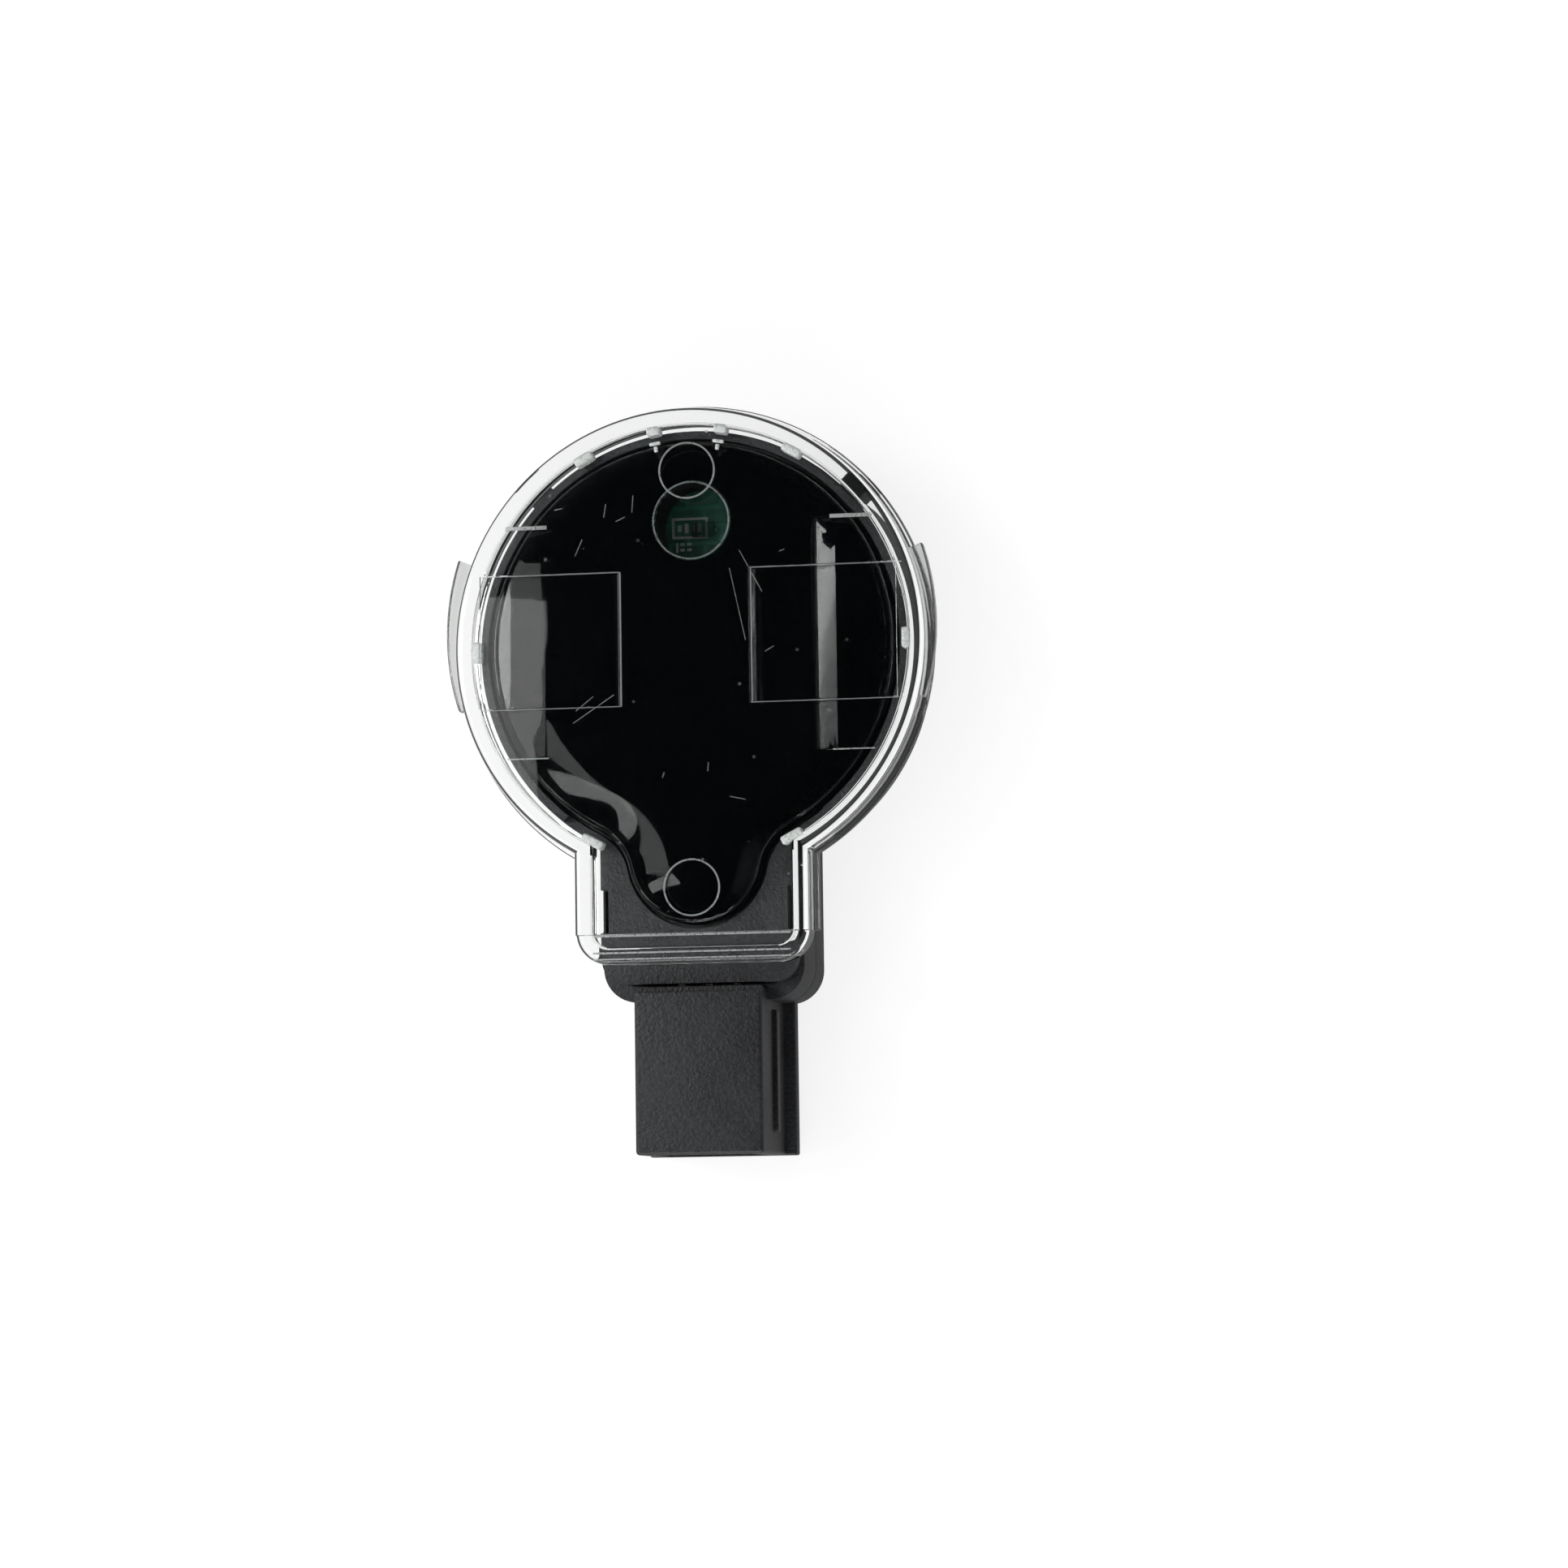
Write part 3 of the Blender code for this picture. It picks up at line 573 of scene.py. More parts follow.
MATT_BLACK = moulded("black_moulded", (0.021, 0.0223, 0.0255), 0.46, 3300, 0.07 * MM, spread=0.28)
COVER_BLACK = moulded("cover_moulded", (0.021, 0.0223, 0.0255), 0.44, 3500, 0.06 * MM, spread=0.28)
GLOSS_BLACK = moulded("gloss_black", (0.0016, 0.0022, 0.0028), 0.05, 900, 0.0004 * MM, shine=0.04)
CAP_CLEAR = clear("cap_clear", (0.955, 0.965, 0.958), 0.012, 1.49, 0.004 * MM, specks=330)
GRIP_CLEAR = clear("grip_clear", (0.66, 0.67, 0.66), 0.14, 1.49, 0.05 * MM)
NUB_FROST = frosted("nub_frost", (0.90, 0.92, 0.91), 0.30, 0.30)
# frosted plastic for the ribs; the same pale finish also paints the highlights across the neck's end
RIB_FROST_AND_HIGHLIGHT = frosted("rib_frost_and_highlight", (0.80, 0.82, 0.82), 0.30, 0.70)
MARK_FROST = frosted("mark_frost", (0.78, 0.80, 0.82), 0.30, 0.80)
# frosted plastic for the scratches; the same pale finish also paints the reflection along the
# pockets' outlines
SCRATCH_FROST_AND_REFLECTION = frosted("scratch_frost_and_painted_reflection", (0.78, 0.79, 0.82), 0.35, 0.80)
PAD_CLEAR = clear("pad_silicone", (0.90, 0.92, 0.92), 0.04, 1.41, 0.004 * MM)
WINDOW_CLEAR = clear("window_clear", (0.95, 0.97, 0.96), 0.02, 1.49, 0.001 * MM)
LENS_CLEAR = clear("lens_clear", (0.93, 0.94, 0.95), 0.03, 1.58, 0.001 * MM)
BOARD_GREEN = board_finish()
PRINT_WHITE = moulded("board_print", (0.62, 0.66, 0.63), 0.6, 6000, 0.01 * MM)


# --- The clear cap --------------------------------------------------------------------------
def cap_ring(grow):
    """The cap's outline, grown from its inside; the step across the neck has points on both sides."""
    radius, half = CAP_INNER_RADIUS + grow, CAP_INNER_HALF + grow
    corner = CAP_CORNER + grow
    spin = degrees(asin(half / radius))
    centre_y = CAP_CORNER - CAP_REACH
    above = degrees(asin((centre_y - STEP_Y - RISER / 2) / corner))
    below = degrees(asin((centre_y - STEP_Y + RISER / 2) / corner))
    x = half - corner
    ring = arc(0, 0, radius, spin - 90, 270 - spin, 170)
    ring += arc(-x, centre_y, corner, 180, 180 + above, 4)
    ring += arc(-x, centre_y, corner, 180 + below, 270, 14)
    ring += arc(x, centre_y, corner, 270, 360 - below, 14)
    ring += arc(x, centre_y, corner, 360 - above, 360, 4)
    return ring


def cap_face_drop(x, y):
    """How far the cap's moulded face lies below its highest level."""
    if y < STEP_Y:
        return STEP_DROP
    side, out = (-1 if x < 0 else 1), abs(x)
    near = POCKET_X[side]
    across = share(out, near, near + POCKET_SLOPE) * share(-out, -POCKET_FAR, RISER - POCKET_FAR)
    low, high = POCKET_Y
    along = share(y, low, low + RISER) * share(-y, -high, RISER - high)
    return POCKET_DROP * across * along


def cap_face_lines():
    """Closed outlines on the cap's face along which its slope changes."""
    lines = []
    for side in (-1, 1):
        near, (low, high) = POCKET_X[side], POCKET_Y
        outer = rectangle(near, low, POCKET_FAR, high)
        inner = rectangle(near + POCKET_SLOPE, low + RISER, POCKET_FAR - RISER, high - RISER)
        lines += [[(side * x, y) for x, y in line] for line in (outer, inner)]
    return lines


def shoulder_drop(x, y):
    """How far the pad's long soft shoulder has fallen, from its distance to the outline."""
    to_head = PAD_RADIUS - hypot(x, y)
    to_lobe = LOBE_RADIUS - hypot(x, y + LOBE_DROP)
    centre_x, centre_y = fillet_centre()
    near_head = y > centre_y * PAD_RADIUS / (PAD_RADIUS + PAD_FILLET)
    hollow = hypot(abs(x) - centre_x, y - centre_y) - PAD_FILLET
    distance = max(to_head, to_lobe)
    if not near_head or distance < hollow:
        distance = max(distance, hollow) if between_fillets(x, y) else distance
    t = 1 - share(distance, PAD_INSET + PAD_EDGE, PAD_INSET + PAD_EDGE + SHOULDER_WIDTH)
    return SHOULDER_DROP * (0.3 * t + 0.7 * t * t)


def fillet_centre():
    """The centre of the right hollow fillet between the pad's head and its lobe."""
    to_head, to_lobe = PAD_RADIUS + PAD_FILLET, LOBE_RADIUS + PAD_FILLET
    y = (to_lobe**2 - to_head**2 - LOBE_DROP**2) / (2 * LOBE_DROP)
    return sqrt(to_head**2 - y**2), y


def between_fillets(x, y):
    """True where the nearest point of the outline is on a hollow fillet."""
    centre_x, centre_y = fillet_centre()
    to_right = Vector((abs(x) - centre_x, y - centre_y))
    angle = atan2(to_right.y, to_right.x) % (2 * pi)
    from_head = atan2(-centre_y, -centre_x) % (2 * pi)
    from_lobe = atan2(-LOBE_DROP - centre_y, -centre_x) % (2 * pi)
    return from_head <= angle <= from_lobe


def pad_face_drop(x, y):
    """How far the pad's face lies below its highest level."""
    out, radius = abs(x), hypot(x, y)
    low, high = LENS_Y
    drop = shoulder_drop(x, y)
    if out > RIDGE_X and radius < LENS_RADIUS and low < y < high:
        t = (out - RIDGE_X) / (LENS_RADIUS - RIDGE_X)
        fall = LENS_DROP * (0.45 * t + 0.55 * t * t)
        kept = share(-radius, -LENS_RADIUS, RISER - LENS_RADIUS)
        kept *= share(y, low, low + RISER) * share(-y, -high, RISER - high)
        drop += (fall - drop) * kept
    low, high = RAMP_Y
    start = RIDGE_X - RAMP_WIDTH
    if x > 0 and start - RISER < out < RIDGE_X and low < y < high:
        rise = share(out, start - RISER, start) * share(-out, -RIDGE_X, -start)
        rise *= share(y, low, low + RISER) * share(-y, -high, RISER - high)
        drop = max(drop, RAMP_DROP * rise)
    return drop


def pad_face_lines():
    """Closed outlines on the pad's face along which its slope changes."""
    lines = []
    for side in (-1, 1):
        for inset in (0, RISER):
            radius = LENS_RADIUS - inset
            low, high = LENS_Y[0] + inset, LENS_Y[1] - inset
            turn = [degrees(asin(level / radius)) for level in (low, high)]
            edge = arc(0, 0, radius, *turn, 30)
            lines.append([(side * x, y) for x, y in [*edge, (RIDGE_X, high), (RIDGE_X, low)]])
    start, (low, high) = RIDGE_X - RAMP_WIDTH, RAMP_Y
    lines.append(rectangle(start - RISER, low, RIDGE_X, high))
    lines.append(rectangle(start, low + RISER, RIDGE_X, high - RISER))
    return lines


def inside(point, outline):
    x, y = point
    hit = False
    for (ax, ay), (bx, by) in zip(outline, outline[1:] + outline[:1]):
        if (ay > y) != (by > y) and x < ax + (y - ay) / (by - ay) * (bx - ax):
            hit = not hit
    return hit


def relief(boundary, field, lines, top, drop, spacing, links=()):
    """Points and faces of a moulded face whose level is top less drop(x, y), inside boundary."""
    points = [Vector(p) for p in boundary]
    edges = list(links)
    for line in lines:
        first, count = len(points), len(line)
        points += [Vector(p) for p in line]
        edges += [(first + i, first + (i + 1) % count) for i in range(count)]
    reach = int(HEAD_RADIUS / spacing) + 2
    for i in range(-reach, reach + 1):
        for j in range(-int(1.4 * reach), reach + 1):
            spot = ((i + 0.31) * spacing, (j + 0.17) * spacing)
            if inside(spot, field):
                points.append(Vector(spot))
    outline = [list(range(len(boundary)))]
    flat, _, faces, *_ = delaunay_2d_cdt(points, edges, outline, 1, 1e-8)
    return [(p.x, p.y, top - drop(p.x, p.y)) for p in flat], faces


def cap_face(boundary, spacing=1.4 * MM):
    near = [i for i, p in enumerate(boundary) if abs(p[1] - STEP_Y) < RISER]
    links = []
    for level in (STEP_Y + RISER / 2, STEP_Y - RISER / 2):
        ends = [i for i in near if abs(boundary[i][1] - level) < RISER / 10]
        links.append((ends[0], ends[-1]))
    field = cap_ring(CAP_WALL - CAP_EDGE - spacing / 2)
    return relief(boundary, field, cap_face_lines(), CAP_TOP, cap_face_drop, spacing, links)


def quarter(radius, steps=13):
    """(out, down) along a quarter round, from level to upright."""
    turns = [pi / 2 * i / steps for i in range(steps + 1)]
    return [(radius * sin(t), radius * (1 - cos(t))) for t in turns]


def cap_shell():
    """The cap's closed shell: moulded face, rounded edge, wall, lip and hollow inside."""

    def ring(grow, z, from_top=False):
        made = []
        plain = cap_ring(grow)
        for (x, y), (inner_x, inner_y) in zip(plain, cap_ring(0)):
            over_neck = inner_y < CAP_CORNER - CAP_REACH and abs(inner_x) < CAP_INNER_HALF - 1e-5
            level = z - (STEP_DROP if from_top and y < STEP_Y else 0)
            if over_neck and not from_top:
                level = max(level, COVER_TOP + GAP)
            made.append((x, y, level))
        return made

    def lip_ring(grow, z):
        """As ring, but the lip stops where the wall crosses the neck."""
        lip, wall = ring(grow, z), ring(min(grow, CAP_WALL), z)
        inner = cap_ring(0)
        return [
            w if y < CAP_CORNER - CAP_REACH and abs(x) < CAP_INNER_HALF - 1e-5 else p
            for p, w, (x, y) in zip(lip, wall, inner)
        ]

    face_edge = CAP_WALL - CAP_EDGE
    rings = [ring(face_edge + out, CAP_TOP - down, True) for out, down in quarter(CAP_EDGE)]
    fillet = 0.2 * MM
    lip_top = CAP_BOTTOM + LIP_THICKNESS
    for out, down in quarter(fillet, 6):
        rings.append(lip_ring(CAP_WALL + fillet - (fillet - down), lip_top + fillet - out))
    lip = CAP_WALL + LIP_WIDTH
    rings += [lip_ring(lip - fillet + out, lip_top - down) for out, down in quarter(fillet, 6)]
    rings.append(lip_ring(lip, CAP_BOTTOM))
    rings.append(ring(0, CAP_BOTTOM))
    inner_edge = 0.35 * MM
    for out, down in quarter(inner_edge, 10)[::-1]:
        rings.append(ring(out - inner_edge, CAP_CEILING - down))
    boundary = cap_ring(face_edge)
    top_points, top_faces = cap_face(boundary)
    points, faces = skin(rings, close_start=False)
    shift = len(points)
    points += top_points
    faces += [tuple(i + shift for i in face) for face in top_faces]
    return from_faces("cap_shell", points, faces)


def finger_grip(side):
    """A crescent tab that stands out from the wall, with a free upper tip."""
    outer = arc(0, GRIP_RISE, GRIP_RADIUS, GRIP_FOOT_ANGLE, GRIP_TIP_ANGLE, 40)
    (near_x, near_y), (far_x, far_y) = outer[0], outer[-1]
    wall = CAP_INNER_RADIUS + CAP_WALL + 0.02 * MM
    start, end = degrees(atan2(far_y, far_x)), degrees(atan2(near_y, near_x))
    inner = arc(0, 0, wall, start, end, 36)
    points = [(side * x, y) for x, y in outer + inner]
    return rounded(plate("grip", points, GRIP_BOTTOM, GRIP_TOP), 0.16 * MM, 6)


def finger_grips():
    grips = merged("finger_grips", [finger_grip(-1), finger_grip(1)])
    return dress(grips, GRIP_CLEAR, "cap", sharp=25)


def cap_nubs():
    """Frosted blocks inside the wall that centre the cap on the sensor's border."""
    bottom, top = BORDER_TOP + GAP, CAP_CEILING - 0.03 * MM
    inner, outer = CAP_INNER_RADIUS - NUB_DEPTH, CAP_INNER_RADIUS - 0.03 * MM
    nubs = []
    for angle in NUB_ANGLES:
        near_top = angle in FOOTED_NUBS
        width = NUB_WIDTH if near_top else NUB_WIDTH * SIDE_NUB_SHARE
        nub = turned_box("nub", angle, inner, outer, width, bottom, top)
        nubs.append(rounded(nub, 0.2 * MM, 3))
        if near_top:
            for start, end, wide in NUB_FEET:
                foot = turned_box("foot", angle, start, end, wide, top - GAP, top)
                nubs.append(rounded(foot, 0.08 * MM, 2))
    width = NUB_WIDTH * CORNER_NUB_SHARE
    fall = sqrt(CAP_INNER_RADIUS**2 - CAP_INNER_HALF**2)
    for side in (-1, 1):
        angle = degrees(atan2(-fall, side * CAP_INNER_HALF))
        block = turned_box("corner", angle, inner, outer, width, bottom, top)
        nubs.append(rounded(block, 0.2 * MM, 3))
    made = merged("cap_nubs", nubs)
    return dress(made, NUB_FROST, "cap")


def thin_bar(x, y, turn, length, width, bottom, top):
    """A thin bar lying at a turn in degrees, with its middle at x, y."""
    bar = box("bar", (-length / 2, -width / 2, bottom), (length / 2, width / 2, top))
    bar.data.transform(Matrix.Translation((x, y, 0)) @ Matrix.Rotation(radians(turn), 4, "Z"))
    return bar


def cap_ribs_and_highlights():
    """Short frosted ribs under the face, and pale bars across the end of the neck that are painted
    highlights for the light its edges catch.
    """
    bars = []
    for side in (-1, 1):
        middle, length = side * sum(RIB_X) / 2, RIB_X[1] - RIB_X[0]
        for y in (RIB_Y, RAMP_Y[0]):
            width = RIB_WIDTH if y > 0 else RIB_WIDTH / 3
            bottom, top = PAD_TOP + 0.05 * MM, CAP_CEILING - 0.02 * MM
            bars.append(rounded(thin_bar(middle, y, 0, length, width, bottom, top), 0.03 * MM, 2))
    step_top = CAP_TOP - STEP_DROP
    half = CAP_INNER_HALF - 0.3 * MM
    # painted highlights: pale bars where the neck's edges catch the light
    for y, width in PAINTED_NECK_HIGHLIGHTS:
        high = step_top + 0.05 * MM
        bar = thin_bar(0, y, 0, 2 * half, width, high - NECK_HIGHLIGHT_DEPTH, high)
        bars.append(rounded(bar, NECK_HIGHLIGHT_EDGE, 2))
    made = merged("cap_ribs_and_highlights", bars)
    return dress(made, RIB_FROST_AND_HIGHLIGHT, "cap")


def flat_ring(name, cx, cy, inner, outer, bottom, top):
    """A thin flat ring round cx, cy with softened edges."""
    ring = plate(name, circle(cx, cy, outer, 64), bottom, top, [circle(cx, cy, inner, 64)])
    return rounded(ring, (top - bottom) * 0.3, 2)


def cap_marks():
    """Rings where the ejector pins pushed the cap out of its mould."""
    near, far = MARK_RADIUS - MARK_WIDTH / 2, MARK_RADIUS + MARK_WIDTH / 2
    low, high = CAP_CEILING - 0.10 * MM, CAP_CEILING - 0.02 * MM
    rings = [flat_ring("ring", cx, cy, near, far, low, high) for cx, cy in MARKS]
    return dress(merged("cap_marks", rings), MARK_FROST, "cap")


def window_rim():
    """The fine bright edge where the window sits in the lens plate."""
    near, far = WINDOW_RADIUS + 0.02 * MM, WINDOW_RADIUS + 0.17 * MM
    rim = flat_ring("window_rim", 0, WINDOW_Y, near, far, PLATE_TOP, PLATE_TOP + 0.05 * MM)
    return dress(rim, MARK_FROST, "sensor")


def cap_scratches_and_painted_reflections():
    """The pockets' outlines as fine pale lines that paint the light reflected off the pockets' step
    walls, and a few handling scratches as fine frosted lines.
    """
    bottom, top = CAP_CEILING - 0.06 * MM, CAP_CEILING - 0.02 * MM
    bars = []
    # painted reflection: pale lines along each pocket's outline, with the left upright line drawn
    # wider
    for side in (-1, 1):
        near = POCKET_X[side]
        far = POCKET_FAR + (0.4 * MM if side > 0 else 0)
        middle, length = side * (near + far) / 2, far - near
        for y in POCKET_Y:
            bars.append(thin_bar(middle, y, 0, length, LINE_WIDTH, bottom, top))
        height = POCKET_Y[1] - POCKET_Y[0]
        width = LINE_WIDTH * (1.3 if side > 0 else 2.2)
        bars.append(thin_bar(side * near, sum(POCKET_Y) / 2, 90, height, width, bottom, top))
    # real handling scratches
    for x, y, turn, length in SCRATCHES:
        bars.append(thin_bar(x * MM, y * MM, turn, length * MM, LINE_WIDTH * 0.7, bottom, top))
    made = merged("cap_scratches_and_painted_reflections", bars)
    return dress(made, SCRATCH_FROST_AND_REFLECTION, "cap")


def protective_cap():
    cap = cap_shell()
    cap.name = "clear_cap"
    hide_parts("protective_cap")
    return dress(cap, CAP_CLEAR, "cap", sharp=7.5)


# --- The soft pad ---------------------------------------------------------------------------
def optical_pad():
    """A silicone pad that wets the lens plate, with moulded side lenses and a soft shoulder."""
    foot = PLATE_TOP - 0.02 * MM
    rings = [at_height(pad_outline(-PAD_INSET - 0.1 * MM), foot)]
    rings.append(at_height(pad_outline(-PAD_INSET), foot + 0.1 * MM))
    for out, down in quarter(PAD_EDGE, 10)[::-1]:
        grow = -PAD_INSET - PAD_EDGE + out
        rings.append(at_height(pad_outline(grow), PAD_TOP - SHOULDER_DROP - down))
    points, faces = skin(rings, close_end=False)
    spacing = 0.45 * MM
    boundary = pad_outline(-PAD_INSET - PAD_EDGE)
    field = pad_outline(-PAD_INSET - PAD_EDGE - spacing / 2)
    top_points, top_faces = relief(
        boundary, field, pad_face_lines(), PAD_TOP, pad_face_drop, spacing
    )
    shift = len(points)
    faces += [tuple(i + shift for i in face) for face in top_faces]
    pad = from_faces("soft_pad", points + top_points, faces)
    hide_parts("optical_pad")
    return dress(pad, PAD_CLEAR, "sensor", sharp=7.5)


# --- Housing and cover ----------------------------------------------------------------------
def cavity_outline(inset=0.0):
    shrink = HOUSING_WALL + inset
    corner = NECK_CORNER - shrink if NECK_CORNER > shrink * 1.3 else shrink * 0.3
    return keyhole(HEAD_RADIUS - shrink, NECK_HALF - shrink, NECK_END - shrink, corner)


def detent_cutters(bottom, top, outer=NECK_HALF + OVERRUN):
    """The two slots in the neck's edges that the bracket's clip snaps into."""
    inner = COVER_NECK_HALF - DETENT_DEPTH
    low_y, high_y = DETENT_Y - DETENT_LENGTH / 2, DETENT_Y + DETENT_LENGTH / 2
    return (
        box("detent", (-outer, low_y, bottom), (-inner, high_y, top)),
        box("detent", (inner, low_y, bottom), (outer, high_y, top)),
    )


def groove(outline_at, depth, z, width):
    """A ring that cuts a shallow groove round an outline."""
    outer, inner = outline_at(OVERRUN), outline_at(-depth)
    return plate("groove", outer, z - width / 2, z + width / 2, [inner])


def housing_outline(grow=0.0):
    return keyhole(HEAD_RADIUS + grow, NECK_HALF + grow, NECK_END + grow, NECK_CORNER + grow)


def rear_housing():
    housing = rounded(plate("housing", housing_outline(), 0, HOUSING_HEIGHT), HOUSING_EDGE, 5)
    cavity_top = HOUSING_HEIGHT + OVERRUN
    cut(housing, plate("cavity", cavity_outline(), HOUSING_FLOOR, cavity_top))
    cut(housing, groove(housing_outline, 0.09 * MM, HOUSING_HEIGHT * 0.42, 0.16 * MM))

    post_top, peg_top = BOARD_LOW.z - GAP, BOARD_TOP + 1.0 * MM
    sunk = HOUSING_FLOOR / 2
    posts = [plate("post", circle(x, y, POST_RADIUS, 24), sunk, post_top)
             for x, y in PEG_POSTS + PLAIN_POSTS]
    pegs = [plate("peg", circle(x, y, PEG_RADIUS, 20), sunk, peg_top) for x, y in PEG_POSTS]
    join(housing, *posts, *pegs)

    for angle in LUG_ANGLES:
        inner, outer = HEAD_RADIUS - HOUSING_WALL / 2, HEAD_RADIUS + LUG_REACH
        lug = turned_box("lug", angle, inner, outer, LUG_WIDTH, LUG_BOTTOM, LUG_TOP)
        join(housing, rounded(lug, 0.25 * MM, 4))

    foot_half = SOCKET_HALF + FOOT_WIDTH
    foot = box(
        "foot", (-foot_half, -SOCKET_END, FOOT_BOTTOM), (foot_half, -SOCKET_START, FOOT_TOP)
    )
    shroud = box(
        "shroud",
        (-SOCKET_HALF, -SOCKET_END, (FOOT_BOTTOM + FOOT_TOP) / 2),
        (SOCKET_HALF, -SOCKET_START, SOCKET_TOP),
    )
    key_rib = box(
        "key_rib",
        (SOCKET_HALF - SOCKET_WALL / 2, KEY_RIB_SETBACK - SOCKET_END, KEY_RIB_BOTTOM),
        (
            SOCKET_HALF + KEY_RIB_DEPTH,
            -SOCKET_START - KEY_RIB_SETBACK,
            KEY_RIB_BOTTOM + KEY_RIB_HEIGHT,
        ),
    )
    join(housing, rounded(foot, 0.2 * MM, 4), rounded(shroud, 0.35 * MM, 5))
    join(housing, rounded(key_rib, 0.12 * MM, 3))

    inside_half = SOCKET_HALF - SOCKET_WALL
    floor_z, roof_z = FOOT_TOP + SOCKET_WALL, SOCKET_TOP - SOCKET_WALL
    hollow = box(
        "hollow",
        (-inside_half, -SOCKET_END - OVERRUN, floor_z),
        (inside_half, -SOCKET_BACK, roof_z),
    )
    cut(housing, rounded(hollow, 0.3 * MM, 4))
    for i in (-1, 0, 1):
        half = PIN_HALF + GAP
        slot = box(
            "pin_slot",
            (i * PIN_PITCH - half, -SOCKET_BACK - OVERRUN, PIN_Z - half),
            (i * PIN_PITCH + half, HOUSING_WALL + OVERRUN - NECK_END, PIN_Z + half),
        )
        cut(housing, slot)
    cut(housing, *detent_cutters(HOUSING_HEIGHT * 0.65, cavity_top, NECK_HALF - 0.2 * MM))
    ledge = box(
        "ledge",
        (-SOCKET_HALF - OVERRUN, -SOCKET_START - 0.55 * MM, SOCKET_TOP - 1.05 * MM),
        (SOCKET_HALF + OVERRUN, -SOCKET_START + OVERRUN, SOCKET_TOP + OVERRUN),
    )
    cut(housing, ledge)
    cut(housing, *rear_face_marks())
    housing.name = "housing_shell"
    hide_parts("rear_housing")
    return dress(housing, MATT_BLACK, "sensor")


def rear_face_marks():
    """Shallow round ejector marks and a long pocket in the rear face."""
    depth = 0.15 * MM
    places = [(-12.0, 8.5), (12.0, 8.5), (-12.0, -7.5), (12.0, -7.5), (0, -25.0)]
    marks = [
        plate("mark", circle(x * MM, y * MM, 2.0 * MM), -OVERRUN, depth) for x, y in places
    ]
    pocket = rectangle(-6.0 * MM, -12.0 * MM, 6.0 * MM, 12.0 * MM)
    return [*marks, rounded(plate("pocket", pocket, -OVERRUN, 0.3 * MM), 0.1 * MM, 2)]


def front_cover():
    outline = keyhole(HEAD_RADIUS, COVER_NECK_HALF, COVER_END, COVER_CORNER)
    cover = rounded(plate("cover", outline, COVER_BOTTOM, COVER_TOP), HOUSING_EDGE, 5)
    end_angle = 180 - BORDER_END_ANGLE
    outer = arc(0, 0, HEAD_RADIUS - BORDER_INSET, BORDER_END_ANGLE, end_angle, 140)
    inner = arc(0, 0, PAD_RADIUS + 0.12 * MM, end_angle, BORDER_END_ANGLE, 140)
    root = (COVER_BOTTOM + LEDGE_TOP) / 2
    border = plate("border", outer + inner, root, BORDER_TOP)
    join(cover, rounded(border, 0.18 * MM, 4))
    skirt_bottom = COVER_LOW.z
    skirt = plate(
        "skirt",
        cavity_outline(GAP),
        skirt_bottom,
        COVER_BOTTOM + 0.33 * MM,
        [cavity_outline(GAP + 1.0 * MM)],
    )
    join(cover, skirt)
    cut(cover, plate("recess", pad_outline(GAP), LEDGE_TOP, BORDER_TOP + OVERRUN))
    opening = pad_outline(-LEDGE_WIDTH)
    cut(cover, plate("opening", opening, skirt_bottom - OVERRUN, LEDGE_TOP + OVERRUN))
    cut(cover, *detent_cutters(COVER_BOTTOM - OVERRUN, COVER_TOP + OVERRUN))
    cover.name = "cover_frame"
    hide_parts("front_cover")
    return dress(cover, COVER_BLACK, "sensor")


# --- Printed marks on the board -------------------------------------------------------------
def frame_mark(x, y, width, height, line):
    """A printed rectangle: four thin bars."""
    w, h = width / 2, height / 2
    bottom, top = BOARD_TOP - 0.02 * MM, BOARD_TOP + 0.03 * MM
    return plate(
        "frame_mark",
        rectangle(x - w, y - h, x + w, y + h),
        bottom,
        top,
        [rectangle(x - w + line, y - h + line, x + w - line, y + h - line)],
    )


def bar_mark(x, y, width, height):
    bottom, top = BOARD_TOP - 0.02 * MM, BOARD_TOP + 0.03 * MM
    return plate(
        "bar_mark",
        rectangle(x - width / 2, y - height / 2, x + width / 2, y + height / 2),
        bottom,
        top,
    )


def board_print():
    """White guide marks beside the ambient light sensor: a box of small blocks, and more below."""
    x, y = -1.35 * MM, 11.45 * MM
    marks = [frame_mark(x, y, 3.3 * MM, 1.9 * MM, 0.22 * MM)]
    for i in range(4):
        marks.append(bar_mark(x + (i - 1.5) * 0.62 * MM, y, 0.36 * MM, (0.6 + 0.25 * (i % 2)) * MM))
    marks.append(bar_mark(x - 1.2 * MM, y - 1.75 * MM, 0.18 * MM, 0.9 * MM))
    for i in range(2):
        for j in range(2):
            marks.append(
                bar_mark(x + (0.62 * i - 0.7) * MM, y - (1.45 + 0.5 * j) * MM, 0.42 * MM, 0.24 * MM)
            )
    made = merged("board_marks", marks)
    return dress(made, PRINT_WHITE, "sensor")


